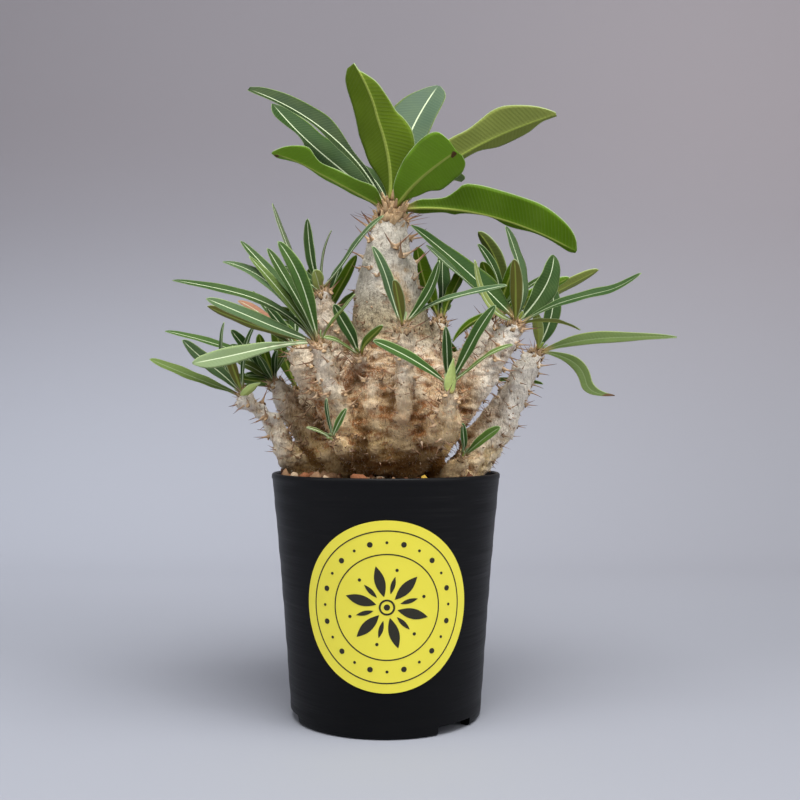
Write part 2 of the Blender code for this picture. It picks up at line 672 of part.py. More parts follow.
def blade(base, tip, axis, width, facing, arch, bow, extra=0.0):
    """Points and triangles of one leaf: a keeled blade, folded along a midrib that runs in a bow
    from base to tip. Extra grows it, to test that it is clear."""
    chord = tip - base
    rise = (axis - chord * axis.dot(chord) / chord.length_squared).normalized()
    leftwards = Vector((-chord.z, 0, chord.x)).normalized()
    bend = base + chord * 0.5 + (rise * arch + leftwards * bow) * chord.length
    above = upper_side(chord, axis, facing)
    large = width > LARGE_BLADE_WIDTH
    stations = LARGE_BLADE_STATIONS if large else BLADE_STATIONS
    points = []
    for share in stations:
        centre = base * (1 - share) ** 2 + bend * 2 * share * (1 - share) + tip * share**2
        ahead = ((bend - base) * (1 - share) + (tip - bend) * share).normalized()
        across = ahead.cross(above).normalized()
        up = across.cross(ahead)
        half = max(PETIOLE_WIDTH * (1 - share) * 0.5, 0.5 * width * outline(share, large)) + extra
        keel = KEEL * (1 - 0.45 * share) + extra
        fold = up * half * FOLD
        points += [
            centre - across * half + fold, centre + up * (0.25 * keel),
            centre + across * half + fold, centre - up * (0.75 * keel),
        ]
    faces = [[0, 1, 2], [0, 2, 3]]
    for i in range(0, 4 * (len(stations) - 1), 4):
        for a, b in ((0, 1), (1, 2)):
            faces += [[i + a, i + b, i + b + 4], [i + a, i + b + 4, i + a + 4]]
        for a, b in ((0, 3), (3, 2)):
            faces += [[i + a, i + b, i + b + 4], [i + a, i + b + 4, i + a + 4]]
    end = 4 * (len(stations) - 1)
    for a, b in ((0, 1), (1, 2), (2, 3), (3, 0)):
        faces.append([end + a, end + b, len(points)])
    points.append(tip + (tip - bend).normalized() * extra)
    return points, faces


def nudged(tip, base, axis, turn, lift):
    """A leaf's tip swung about its stem's axis and lifted towards it."""
    arm = Matrix.Rotation(math.radians(turn), 3, axis) @ (tip - base)
    return base + Matrix.Rotation(math.radians(lift), 3, arm.cross(axis)) @ arm


def clear_blade(base, leaf, axis, occupied):
    """The first nudge of a leaf whose grown blade meets nothing, as points and faces, or None."""
    tip = Vector(leaf[:3])
    choices = [(abs(turn) + abs(lift), turn, lift) for turn in NUDGE_TURNS for lift in NUDGE_LIFTS]
    for _, turn, lift in sorted(choices):
        moved = nudged(tip, base, axis, turn, lift)
        grown, faces = blade(base, moved, axis, *leaf[3:], extra=CLEARANCE)
        test = BVHTree.FromPolygons([Vector(p) * MM for p in grown], faces)
        if not any(test.overlap(tree) for tree in occupied):
            return blade(base, moved, axis, *leaf[3:])
    return None


def make_rosette(name, stem, radius, leaves, occupied, look):
    """Leaves that spring from a small crown on a stem's cut end, grown together there."""
    end, axis = tip_of(stem)
    crown = make_crown(name, end, axis, radius, look)
    blades = []
    for i, leaf in enumerate(leaves):
        base = end + axis * (ROOT_LIFT + 0.35 * radius * i / len(leaves))
        found = clear_blade(base, leaf, axis, occupied)
        if found:
            blades.append(add_solid("blade", *found))
    combine(crown, "UNION", blades)
    return crown


def make_crown(name, end, axis, radius, look):
    """A low dome on a flat foot, which stands just clear of the stem's cut end."""
    side = any_square_to(axis)
    across = axis.cross(side)
    points = []
    for reach, share in ((GAP, 0.9), (0.45 * radius, 1.0), (1.0 * radius, 0.62)):
        for k in range(8):
            angle = 2 * math.pi * k / 8
            points.append(
                end + axis * reach + (side * math.cos(angle) + across * math.sin(angle)) * radius * share
            )
    points.append(end + axis * radius * 1.35)
    faces = [list(range(8))]
    for low in (0, 8):
        faces += [[low + k, low + (k + 1) % 8, low + 8 + (k + 1) % 8, low + 8 + k] for k in range(8)]
    faces += [[16 + k, 16 + (k + 1) % 8, 24] for k in range(8)]
    return add_solid(name, points, faces, look)


def ruled_leaves(stem, count, lengths, widths, draw):
    """Leaves set out round a stem by the golden angle, the younger ones more upright."""
    end, axis = tip_of(stem)
    side = any_square_to(axis)
    across = axis.cross(side)
    made = []
    for i in range(count):
        turn = i * GOLDEN_ANGLE
        rise = math.radians(12 + 52 * i / count + draw.uniform(-6, 6))
        outward = side * math.cos(turn) + across * math.sin(turn)
        tip = end + (outward * math.cos(rise) + axis * math.sin(rise)) * draw.uniform(*lengths)
        made.append((*tip, draw.uniform(*widths), None, draw.uniform(0.04, 0.16), 0))
    return made


def make_rosettes(caudex, pot, look):
    draw = random.Random(SEED + 2)
    table = dict(ROSETTES)
    for name, (stem, radius, count, lengths, widths) in RULED_ROSETTES.items():
        table[name] = (stem, radius, ruled_leaves(stem, count, lengths, widths, draw))
    occupied = [tree_of(caudex), tree_of(pot)]
    for name, (stem, radius, leaves) in table.items():
        rosette = make_rosette(name, stem, radius, leaves, occupied, look)
        occupied.append(tree_of(rosette))


def main():
    clear_scene()
    plastic = material("black_plastic", (0.012, 0.013, 0.015), 0.45)
    sticker = material("yellow_label", (0.72, 0.63, 0.11), 0.5)
    gravel = material("potting_mix", (0.19, 0.09, 0.045), 0.9)
    bark = material("caudex_skin", (0.42, 0.35, 0.27), 0.75)
    leaf = material("leaf_green", (0.075, 0.17, 0.045), 0.42)

    pot = make_pot(plastic)
    make_label(sticker)
    caudex = make_skin(bark)
    make_soil(caudex, gravel)
    combine(caudex, "DIFFERENCE", [tip_cutter(stem) for stem in STEMS])
    combine(caudex, "UNION", make_spines(caudex))
    make_rosettes(caudex, pot, leaf)


main()
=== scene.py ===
"""The looks of a potted pachypodium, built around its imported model.

Sizes are in millimetres and turn into metres where a mesh is made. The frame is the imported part's:
origin at the centre of the pot's foot, +Z up, the label's side towards -Y.
"""

import json
import math
import random
from types import SimpleNamespace

import bmesh
import bpy
import numpy as np
from mathutils import Euler, Matrix, Vector, noise
from mathutils.bvhtree import BVHTree
from mathutils.kdtree import KDTree

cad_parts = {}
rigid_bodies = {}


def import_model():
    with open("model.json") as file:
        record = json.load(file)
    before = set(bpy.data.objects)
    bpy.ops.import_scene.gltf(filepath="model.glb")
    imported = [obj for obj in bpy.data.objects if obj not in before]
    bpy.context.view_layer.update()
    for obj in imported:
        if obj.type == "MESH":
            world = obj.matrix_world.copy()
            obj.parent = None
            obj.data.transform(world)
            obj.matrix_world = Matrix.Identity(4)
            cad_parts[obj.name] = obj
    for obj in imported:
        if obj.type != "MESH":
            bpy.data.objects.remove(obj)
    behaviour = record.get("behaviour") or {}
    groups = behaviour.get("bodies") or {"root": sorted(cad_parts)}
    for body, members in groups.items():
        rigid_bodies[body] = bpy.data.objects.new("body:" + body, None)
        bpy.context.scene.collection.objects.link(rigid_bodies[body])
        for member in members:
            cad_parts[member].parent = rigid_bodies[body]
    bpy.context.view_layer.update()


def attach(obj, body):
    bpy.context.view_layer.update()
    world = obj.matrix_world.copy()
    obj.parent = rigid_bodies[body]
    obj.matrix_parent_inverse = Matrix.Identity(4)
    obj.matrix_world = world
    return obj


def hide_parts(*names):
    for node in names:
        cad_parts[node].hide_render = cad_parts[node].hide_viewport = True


MM = 0.001
SEED = 11
GOLDEN_ANGLE = math.radians(137.5)
FRONT = Vector((0, -1, 0))

# Camera, fitted to the pot's rim and foot
CAMERA_PLACE = (7.4, -540.0, 154.0)
CAMERA_PITCH = 1.07
CAMERA_LENS = 45.86
SENSOR_WIDTH = 36.0

# Backdrop: a flat floor from front to back, then a round sweep up into a wall
BACKDROP_SIDE = 1800.0
BACKDROP_FRONT = -1500.0
BACKDROP_BACK = 500.0
BACKDROP_HEIGHT = 1700.0
SWEEP_RADIUS = 450.0
SWEEP_STEPS = 16

# Studio lights: name, place and size in metres, and power
LIGHT_TARGET = (0, 0, 0.15)
LIGHTS = (
    ("top_softbox", (0.10, -0.45, 1.2), (1.0, 0.8), 21.0),
    ("left_fill", (-1.1, -0.6, 0.6), (0.7, 0.9), 4.2),
    ("right_fill", (1.1, -0.6, 0.6), (0.7, 0.9), 5.4),
)
WORLD_TINT = (0.82, 0.84, 0.90, 1.0)
WORLD_STRENGTH = 0.36

# Pot
POT_HEIGHT = 126.0
POT_SIDES = 160
RIM_RADIUS = 60.0
FOOT_RADIUS = 49.5
WALL = 1.8
RIM_THICKNESS = 2.4
RIM_BAND = 3.2
FLOOR_UNDERSIDE = 4.0
FLOOR_TOP = 6.0
FOOT_ROUNDING = 2.5
NOTCH_HEIGHT = 4.6
NOTCH_WIDTH = 23.0
NOTCH_ANGLES = (45.0, 165.0, 285.0)
DRAIN_RADIUS = 4.5
DRAIN_RING_RADIUS = 27.0
DRAIN_COUNT = 5
PAD_RADIUS = 12.0

# Label
LABEL_RADIUS = 41.5
LABEL_HEIGHT = 64.6
LABEL_SHIFT = 1.2
LABEL_LIFT = 0.3
LABEL_THICKNESS = 0.35
PRINT_THICKNESS = 0.08

# Soil
SOIL_TOP = 121.0
STONE_COUNT = 620

# Larger chips at the front rim: x, y, z, size, redness and kind
CHIPS = (
    (19, -50, 123.7, 3.2, 0.5, 1.0), (-11.5, -49.5, 124.0, 5.2, 0.8, 0.2),
    (-34, -41, 125.2, 3.0, 0.9, 0.75),
    (-40, -38, 125.0, 3.4, 0.9, 0.3), (-45, -33, 125.2, 2.8, 0.2, 0.95),
    (-50, -26, 125.0, 3.2, 0.9, 0.75),
    (-29, -46, 124.6, 2.4, 0.3, 0.95), (42, -36, 124.2, 3.6, 0.3, 0.2),
)

# Caudex
VOXEL = 0.9
SKIN_SMOOTHING = 26
TUBE_SIDES = 20
TIP_ALLOWANCE = 0.5
SPINE_AREA = 330.0
SPINE_LENGTH = (4.0, 9.0)
TOP_SPINE_LENGTH = (9.0, 14.0)
SPINE_SINK = 1.6
SPINE_CLEAR_OF_SOIL = 4.0
TUBERCLE_HEIGHT = 1.5
TUBERCLE_REACH = 2.7
HAIR_COUNT = 15000
HAIR_RADIUS = 0.085
SKIN_KEPT = 0.87  # share of the skin's fine triangles that stays
TOOTH_COUNT = 1100
TOOTH_TOP = 215.0
YOUNG_REACH = 45.0  # a stem's spines and pads are young this far down from its tip
BODY_TOP = 205.0  # the bark below is that of the swollen body, fully so after the fade
BODY_FADE = 30.0
FOLD_COUNT = 190
FOLD_HEIGHT = 1.7
FOLD_ZONE = (129.0, 204.0)  # heights between which the bark folds
FOLD_SPREAD = 46.0
SLENDER_STEM = 12.0  # stems thinner than this carry twice as many swellings
TOP_CROWN_SWELL = 1.3  # the trunk's crown is this much wider than its packed one
BARE_TRUNK = 218  # above this height the pads and the feet of the spines are larger

# Leaves
LARGE_BLADE_WIDTH = 11.5
WIDEST = 0.56
FOLD = 0.22
PETIOLE_WIDTH = 2.4
ROOT_LIFT = 2.2
HOOK_START = 0.72
BLADE_THICKNESS = 0.5
VEIN_SPACING = 1.9
NUDGE_TURNS = (0, 5, -5, 10, -10, 16, -16, 23, -23, 31, -31)
NUDGE_LIFTS = (0, 5, -5, 10, -10, 17)

# Stems, root to tip: x, y, z and radius, close to those of the part's source
STEMS = {
    "trunk": (
        (1, 2, 78, 5), (2, 2, 96, 13), (2.5, 1, 114, 16), (2.5, 0, 126, 20), (3.5, -2, 136, 28),
        (4.5, -2, 150, 36), (4.5, -1, 164, 35.5), (4, 0, 178, 29.5), (3, 0, 192, 23.5),
        (2, 0, 206, 19.8), (1.5, 0, 224, 16.8), (1, 0, 240, 12.9), (2, 0, 252, 9.4), (3, 0, 262, 7.6),
    ),
    "low_left": (
        (-18, -2, 108, 10), (-38, -3, 120, 8.0), (-47, -4, 131, 6.6), (-53, -4, 141, 5.0),
        (-60, -5, 151, 3.9), (-66, -5, 158, 3.6), (-74, -5, 166, 4.0),
    ),
    "left_back": (
        (-20, 4, 120, 14), (-35, 6, 135, 10.5), (-44.5, 9, 151, 7), (-54, 11, 162.5, 5.4),
        (-60, 12, 173, 4.8),
    ),
    "left_middle": ((-12, -6, 150, 12), (-27, -7, 160, 8.6), (-37, -6, 174, 6.8), (-46, -5, 191, 5)),
    "left_front": (
        (-8, -20, 141, 9), (-20, -30.5, 155, 6.4), (-27, -34, 172, 5.7), (-32, -35, 190, 4.9),
    ),
    "left_upper": ((-12, 2, 160, 10), (-24, 0, 186, 7), (-31, -2, 206, 5.6), (-34, -3, 220, 4.6)),
    "centre_front": (
        (6, -24, 146, 8), (8, -37.2, 158, 4.9), (9.5, -40, 171, 4.9), (9.5, -41, 184, 4.7),
        (9, -42, 198, 4.6),
    ),
    "right_front": ((18, -22, 146, 9), (28, -37, 149, 6.2), (31, -45, 157, 4.8), (31, -46, 169, 4)),
    "right_mid": (
        (20, -4, 146, 13), (36, -5, 158, 9), (49, -8, 174, 7.2), (59, -10, 189, 6.4),
        (67, -12, 202, 5.2),
    ),
    "right_far": (
        (14, 4, 110, 14), (35, 7, 117, 11), (44.5, 9, 129, 10), (54, 11, 142, 9.2),
        (62, 12, 153, 8.4), (68, 12, 165, 7.2), (74, 12, 177, 6), (81, 12, 189, 4.6),
    ),
    "small_front": ((-8, -14, 162, 8), (-11, -23, 175, 5), (-12.5, -28, 185, 3.6)),
    "right_back": ((14, 14, 150, 11), (34, 24, 174, 8), (50, 32, 194, 6.4), (61, 36, 212, 4.8)),
    "behind_trunk": ((10, 12, 160, 10), (22, 24, 182, 6.6), (28, 31, 198, 5.2), (30, 33, 209, 4.4)),
    "back_left": ((-8, 12, 150, 11), (-22, 26, 170, 7.6), (-32, 36, 188, 6), (-38, 42, 203, 4.8)),
    "back_low_left": (
        (-12, 14, 136, 11), (-28, 28, 144, 8), (-41, 37, 155, 6.4), (-50, 44, 168, 4.8),
    ),
    "back_middle": ((0, 18, 142, 12), (-1, 34, 156, 8.6), (-3, 44, 172, 6.6), (-4, 50, 190, 5)),
    "back_low_right": (
        (14, 14, 138, 12), (29, 32, 145, 7.6), (38, 42, 153, 6.2), (42.5, 48, 161, 5.6),
        (46, 52, 170, 5),
    ),
    "sprout_left": ((-16, -24, 140, 8), (-21, -34, 140, 4), (-25, -41, 144, 2.6)),
    "sprout_right": ((28, -6, 122, 9), (37, -22, 127, 6), (39, -29, 135, 3)),
}

# Painted shadows on the bark, brown, under the stubs, in the creases and gaps and near the undercut,
# and
# with a negative strength painted highlights, pale places where the pale stems catch the light:
# x, y, z, reach sideways, reach up and down, strength
PAINTED_SHADOWS_AND_HIGHLIGHTS = (
    (-10, -31, 177, 5.5, 5, 1.2), (8, -38, 155, 11, 2.4, 1.5), (-4, -37, 159, 6, 2.0, 1.3),
    (-21, -22, 176, 4.5, 8, 1.5), (21, -25, 184, 4, 8, 1.2), (35, -25, 150, 4, 6, 1.3),
    (-24, -28, 139, 6, 3, 1.2), (-37, -10, 156, 7, 6, 1.2), (22, -33, 162, 4, 4, 1.0),
    (-8, -36, 146, 9, 2, 1.2), (16, -36, 147, 7, 2, 1.2), (-31, -8, 148, 8, 5, 1.0),
    (26, -30, 140, 8, 2.2, 1.0), (-14, -34, 152, 5, 2, 1.2), (30, -20, 160, 5, 5, 0.8),
    (-31, -40, 184, 5, 8, -1.1), (-27, -40, 170, 5, 8, -1.1), (-22, -37, 159, 5, 6, -0.9),
    (31, -49, 160, 4, 9, -0.8), (9, -46, 176, 3.5, 9, -0.7), (63, -18, 190, 10, 12, -0.8),
    (56, 3, 146, 8, 8, -1.0), (66, 4, 162, 8, 8, -1.0), (76, 5, 180, 8, 9, -1.0),
)

# Bark tints that the mottling mixes: darker end, lighter end
BARK_MOTTLES = {
    "silver": ((0.44, 0.350, 0.245), (0.87, 0.76, 0.60)),
    "white": ((0.47, 0.430, 0.375), (0.75, 0.71, 0.650)),
    "beige": ((0.58, 0.520, 0.430), (0.92, 0.850, 0.730)),
    "tan": ((0.36, 0.220, 0.105), (0.74, 0.545, 0.335)),
    "olive_foot_with_painted_light": ((0.46, 0.300, 0.105), (1.0, 0.810, 0.450)),
    "rust_brown": ((0.170, 0.058, 0.014), (0.540, 0.215, 0.066)),
}

# Rosettes close to those of the part's source: stem, crown radius, and leaves as tip x, y, z,
# blade width, facing, arch and bow, with the leaf's tint added at the end
ROSETTES = {
    "rosette_top": ("trunk", 6.5, (
        (-74, 4, 331, 14, 0.72, 0.19, 0, "night"),
        (-64, 26, 330, 17, 0.8, -0.04, 0, "dusk"),
        (-57, -30, 288, 12, -0.65, 0.02, 0, "fresh"),
        (-19, -24, 333, 26, -0.97, 0.03, -0.17, "olive"),
        (29, 32, 342, 27, 0.95, 0.03, 0.11, "blue"),
        (35, -44, 285, 28, -0.92, 0.03, 0.05, "fresh"),
        (87, -24, 309, 18, -0.88, 0.14, 0, "khaki"),
        (98, -18, 240, 16.5, -0.85, 0.16, 0, "bottle"),
        (-34, 62, 314, 22, None, 0.12, 0, "deep"),
        (44, 66, 296, 21, None, 0.14, 0, "deep"),
        (2, 78, 262, 18, None, 0.24, 0, "deep"),
    )),
    "rosette_left_front": ("left_front", 3.8, (
        (-86, -50, 212, 9, 0.78, -0.03, 0, "sheen"),
        (-88, -36, 210, 9, -0.6, -0.06, 0, "brown"),
        (-90, -62, 180, 9.5, 0.9, 0.04, 0, "pale"),
        (-66, -46, 233, 6.5, 0.6, 0.03, 0, "yellow"),
        (-58, -40, 238, 8.5, 0.7, 0, -0.03, "deep"),
        (-51, -54, 239, 9, 0.8, 0, -0.1, "green"),
        (-14, -60, 213, 5, 0.4, 0.03, 0, "yellow"),
        (-109, -20, 225, 8, 0.6, 0.17, 0, "deep"),
        (-85, -10, 236, 8, 0.7, 0.2, 0, "sheen"),
        (-75, -15, 246, 7, 0.75, 0.08, 0, "deep"),
    )),
    "rosette_left_upper": ("left_upper", 3.4, (
        (-63, 20, 273, 5, 0.4, 0, 0.14, "dry"),
        (-41, -8, 259, 6, 0.85, 0, 0.1, "deep"),
        (-30, 14, 257, 4.5, 0.4, 0, 0.1, "dry"),
        (-1, -26, 257, 7, 0.55, 0.02, 0, "sheen"),
        (-62, 38, 240, 9, None, 0.10, 0, "deep"),
    )),
    "rosette_centre_front": ("centre_front", 3.4, (
        (-28, -60, 212, 7, 0.72, 0.30, 0, "sheen"),
        (-6, -52, 237, 7, 0.72, 0.03, 0, "sheen"),
        (5, -66, 219, 6.2, -0.85, 0.02, 0, "brown"),
        (26, -59, 229, 6.5, 0.75, 0, -0.17, "green"),
        (57, -68, 216, 6.5, 0.6, 0.12, 0, "sheen"),
    )),
    "rosette_right_front": ("right_front", 2.8, (
        (-5, -72, 190, 7.5, 0.82, 0.06, 0, "green"),
        (29, -56, 198, 5.2, 0.9, 0, 0, "deep"),
        (52, -66, 207, 7.5, 0.85, 0.02, 0, "green"),
        (59, -74, 188, 5, 0.55, 0.06, 0, "yellow"),
        (33, -54, 183, 7, -0.9, 0, 0, "bract"),
    )),
    "rosette_right_mid": ("right_mid", 3.8, (
        (44, -42, 232, 5.4, 0.88, 0, 0.28, "lime"),
        (64, -38, 233, 7, -0.88, 0, 0, "brown"),
        (62, -14, 254, 9, 0.68, 0, -0.2, "sheen"),
        (90, 6, 242, 14, 0.9, 0, -0.16, "deep"),
        (128, -32, 227, 7.6, 0.62, 0, 0.02, "deep"),
        (13, -26, 252, 9.5, 0.6, 0.04, 0, "deep"),
        (100, -26, 208, 8, None, 0.14, 0, "khaki"),
    )),
    "rosette_right_far": ("right_far", 3.4, (
        (153, -5, 197, 8, 0.78, 0.09, 0, "khaki"),
        (117, -20, 166, 7.6, 0.88, 0.22, 0, "khaki"),
        (91, 20, 228, 10, 0.85, 0, -0.16, "deep"),
        (113, 48, 206, 7, 0.5, 0.06, 0, "deep"),
        (78, -14, 209, 6, -0.8, 0.03, 0, "lime"),
    )),
    "rosette_low_left": ("low_left", 3.2, (
        (-122, -14, 185, 8.5, 0.6, 0, 0.04, "yellow"),
        (-103, -24, 194, 8.5, 0.7, 0.04, 0, "sheen"),
        (-87, 6, 206, 5, 0.7, 0, 0.26, "deep"),
        (-80, -27, 190, 5.5, -0.85, 0.02, 0, "brown"),
        (-67, -16, 203, 4.5, 0.7, 0, 0.12, "deep"),
        (-63, -20, 171, 6, -0.8, 0.04, 0, "bract"),
    )),
    "rosette_left_back": ("left_back", 3.6, (
        (-82, -2, 201, 9, 0.68, 0.03, 0, "deep"),
        (-72, -10, 194, 9, 0.82, 0.03, 0, "deep"),
        (-121, 16, 202, 8, 0.5, 0.16, 0, "green"),
        (-88, 34, 196, 9, None, 0.08, 0, "deep"),
        (-74, 50, 184, 9, None, 0.12, 0, "deep"),
    )),
    "rosette_left_middle": ("left_middle", 3.6, (
        (-79, 2, 217, 7.5, 0.7, 0.08, 0, "salmon"),
        (-73, 16, 224, 5, 0.6, 0.02, 0, "deep"),
        (-68, 4, 206, 8, 0.8, 0.03, 0, "yellow"),
        (-50, 26, 222, 8, None, 0.04, 0, "deep"),
        (-60, 14, 210, 7, 0.7, 0.02, 0, "green"),
    )),
    "rosette_small_front": ("small_front", 2.8, (
        (-27, -46, 208, 7.5, 0.88, 0.02, 0, "deep"),
        (-29, -54, 193, 4.5, 0.6, 0.05, 0, "yellow"),
        (-1, -53, 199, 5, -0.75, 0, 0.06, "green"),
    )),
    "rosette_right_back": ("right_back", 3.8, (
        (52, 40, 261, 10, -0.85, 0.02, -0.28, "umber"),
        (50, 18, 250, 8, 0.65, 0.02, -0.24, "deep"),
        (52, 8, 239, 9, -0.8, 0.03, 0, "bottle"),
        (123, 52, 241, 10, -0.72, 0.03, -0.1, "khaki"),
        (103, 34, 234, 8, -0.75, 0.02, 0, "fresh"),
        (22, 22, 250, 8.5, 0.55, 0.03, 0, "sheen"),
        (84, 82, 226, 10, None, 0.12, 0, "deep"),
    )),
    "rosette_behind_trunk": ("behind_trunk", 3.4, (
        (17, 26, 250, 11, -0.9, 0, 0.1, "bottle"),
        (32, 46, 250, 11, 0.85, 0.03, 0, "deep"),
        (2, 58, 238, 10, None, 0.08, 0, "deep"),
        (34, 76, 222, 9, None, 0.14, 0, "deep"),
    )),
    "sprout_left_leaves": ("sprout_left", 2.2, (
        (-28, -50, 164, 3.4, 0.8, 0.02, 0, "deep"),
        (-18, -55, 159, 4, 0.8, 0.02, 0, "fresh"),
        (-37, -56, 150, 3, 0.6, 0.06, 0, "brown"),
    )),
    "sprout_right_leaves": ("sprout_right", 2.2, (
        (56, -46, 150, 6.5, 0.8, 0.02, 0, "fresh"),
        (38, -42, 152, 4, 0.8, 0.02, 0, "green"),
    )),
}
RULED_ROSETTES = {
    "rosette_back_left": ("back_left", 3.6, 6, (36, 50), (8, 11)),
    "rosette_back_low_left": ("back_low_left", 3.6, 5, (34, 46), (8, 10)),
    "rosette_back_middle": ("back_middle", 3.8, 6, (38, 52), (9, 11)),
    "rosette_back_low_right": ("back_low_right", 3.8, 6, (36, 50), (8, 11)),
}

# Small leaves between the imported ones, listed in the same way
LESSER_LEAVES = {
    "rosette_back_left": (
        (-26, 38, 242, 9, 0.82, 0.04, 0, "deep"),
        (-17, 30, 246, 8, -0.8, 0.04, 0, "bottle"),
    ),
    "rosette_left_upper": (
        (-37, -14, 231, 7.5, 0.9, 0.02, 0, "lime"),
        (-49, -10, 229, 5, 0.8, 0.06, 0, "green"),
    ),
    "rosette_right_back": (
        (90, 20, 234, 6, 0.62, 0.12, 0, "deep"),
        (36, 14, 196, 5, -0.7, 0.22, 0, "bottle"),
        (72, 22, 243, 8, -0.85, 0.02, 0, "bottle"),
    ),
    "rosette_left_back": (
        (-78, -6, 184, 6, 0.8, 0.10, 0, "yellow"),
        (-74, -4, 177, 5, 0.7, 0.12, 0, "green"),
        (-57, -6, 190, 5, 0.8, 0.04, 0, "deep"),
        (-66, -14, 187, 5.5, 0.85, 0.04, 0, "green"),
        (-51, -8, 190, 4, 0.7, 0.08, 0, "yellow"),
        (-69, 10, 200, 7, -0.85, 0.03, 0, "bottle"),
    ),
    "rosette_left_middle": (
        (-62, -12, 212, 6, 0.8, 0.04, 0, "deep"),
        (-56, 8, 204, 8, -0.85, 0.04, 0, "bottle"),
    ),
    "rosette_behind_trunk": (
        (44, 34, 240, 9, -0.85, 0.03, 0, "bottle"),
    ),
}

# Leaves with an outline of their own: share of the length, then how far the blade reaches to the
# left and to the right of its midrib, seen from the front and from base to tip
OUTLINES = {
    ("rosette_top", 0): (
        (0, 1.2, 1.2), (0.1, 1.5, 1.3), (0.24, 2.4, 1.7), (0.37, 3.2, 2.4), (0.5, 3.4, 5.0),
        (0.6, 3.0, 7.0), (0.7, 2.8, 7.0), (0.8, 2.7, 6.0), (0.88, 2.7, 5.0), (0.95, 2.5, 3.8),
        (1, 1.4, 1.6),
    ),
    ("rosette_top", 1): (
        (0, 1.4, 1.4), (0.1, 2.0, 2.0), (0.2, 5.0, 5.0), (0.3, 8.5, 8.0), (0.4, 9.0, 9.0),
        (0.5, 8.5, 9.0), (0.6, 6.5, 8.5), (0.68, 2.8, 8.0), (0.75, 2.0, 7.5), (0.82, 3.8, 6.5),
        (0.9, 4.6, 5.0), (0.96, 3.0, 3.0), (1, 0.5, 0.5),
    ),
    ("rosette_top", 2): (
        (0, 1.2, 1.2), (0.1, 1.3, 2.4), (0.2, 1.8, 5.0), (0.36, 2.0, 4.6), (0.53, 2.0, 4.0),
        (0.66, 1.3, 3.8), (0.72, 1.2, 4.6), (0.8, 1.3, 6.4), (0.88, 1.7, 5.4), (0.95, 2.0, 3.4),
        (1, 0.6, 0.6),
    ),
    ("rosette_top", 3): (
        (0, 1.3, 1.3), (0.1, 2.2, 2.2), (0.22, 6.5, 7.1), (0.34, 11.0, 13.0), (0.47, 12.6, 14.4),
        (0.56, 12.8, 12.2), (0.62, 11.9, 9.8), (0.72, 10.2, 8.9), (0.83, 8.4, 7.7), (0.9, 6.9, 5.4),
        (0.96, 4.4, 3.0), (1, 0.8, 0.8),
    ),
    ("rosette_top", 4): (
        (0, 1.3, 1.3), (0.1, 2.0, 2.0), (0.25, 6.0, 5.0), (0.4, 11.0, 8.5), (0.52, 14.5, 11.0),
        (0.61, 16.0, 11.7), (0.7, 15.9, 11.8), (0.78, 13.6, 11.2), (0.855, 10.6, 10.0),
        (0.91, 7.4, 8.8),
        (0.96, 4.4, 6.0), (1, 1.0, 1.6),
    ),
    ("rosette_top", 5): (
        (0, 1.8, 1.4), (0.1, 3.8, 1.5), (0.18, 6.6, 2.6), (0.3, 9.2, 5.4), (0.4, 10.6, 7.6),
        (0.48, 11.6, 10.2), (0.57, 12.4, 11.0), (0.7, 13.2, 11.2), (0.83, 13.6, 10.7),
        (0.92, 12.6, 9.0),
        (0.97, 10.5, 6.8), (1, 6.0, 3.6),
    ),
    ("rosette_top", 6): (
        (0, 1.3, 1.3), (0.1, 2.0, 1.6), (0.25, 6.0, 2.3), (0.44, 9.0, 2.5), (0.56, 8.8, 2.6),
        (0.65, 10.2, 4.8), (0.7, 11.2, 5.3), (0.76, 11.2, 5.2), (0.84, 9.0, 4.2), (0.92, 5.8, 1.6),
        (0.97, 3.0, 1.2), (1, 1.0, 1.0),
    ),
    ("rosette_top", 7): (
        (0, 1.5, 1.4), (0.06, 1.8, 1.7), (0.126, 3.8, 2.8), (0.2, 4.0, 2.6), (0.27, 5.2, 2.3),
        (0.32, 8.4, 2.8), (0.36, 11.8, 1.8), (0.42, 12.3, 1.1), (0.52, 12.0, 1.1), (0.6, 12.1, 2.7),
        (0.67, 12.1, 2.5), (0.745, 11.8, 1.6), (0.84, 10.2, 1.6), (0.92, 7.8, 2.0), (0.97, 4.6, 2.0),
        (1, 0.8, 0.8),
    ),
    ("rosette_left_front", 2): (
        (0, 1.0, 1.0), (0.15, 1.0, 1.0), (0.3, 1.4, 1.3), (0.48, 2.8, 3.0), (0.64, 3.9, 3.8),
        (0.78, 4.6, 3.9), (0.9, 4.2, 3.0), (0.96, 2.6, 2.0), (1, 0.6, 0.6),
    ),
    ("rosette_right_front", 4): (
        (0, 1.6, 1.6), (0.15, 2.8, 2.8), (0.35, 3.1, 3.2), (0.6, 2.2, 2.3), (0.85, 1.0, 1.0),
        (1, 0.3, 0.3),
    ),
    ("rosette_right_far", 0): (
        (0, 1.0, 1.0), (0.12, 1.8, 1.5), (0.28, 3.4, 2.7), (0.42, 3.6, 3.2), (0.6, 2.8, 2.9),
        (0.8, 1.8, 1.9), (0.93, 1.1, 1.1), (1, 0.4, 0.4),
    ),
    ("rosette_right_mid", 5): (
        (0, 1.0, 1.0), (0.12, 3.0, 3.0), (0.28, 5.4, 5.4), (0.42, 5.2, 5.2), (0.6, 3.8, 3.8),
        (0.8, 2.8, 2.8), (0.93, 1.9, 1.9), (1, 0.4, 0.4),
    ),
    ("rosette_right_back", 5): (
        (0, 1.0, 1.0), (0.2, 2.4, 5.0), (0.4, 2.4, 6.6), (0.6, 2.2, 5.4), (0.8, 1.8, 3.2),
        (0.93, 1.4, 1.6), (1, 0.4, 0.4),
    ),
    ("rosette_low_left", 5): (
        (0, 1.0, 1.0), (0.2, 1.7, 1.6), (0.5, 2.1, 1.8), (0.8, 1.3, 1.0), (1, 0.3, 0.3),
    ),
}

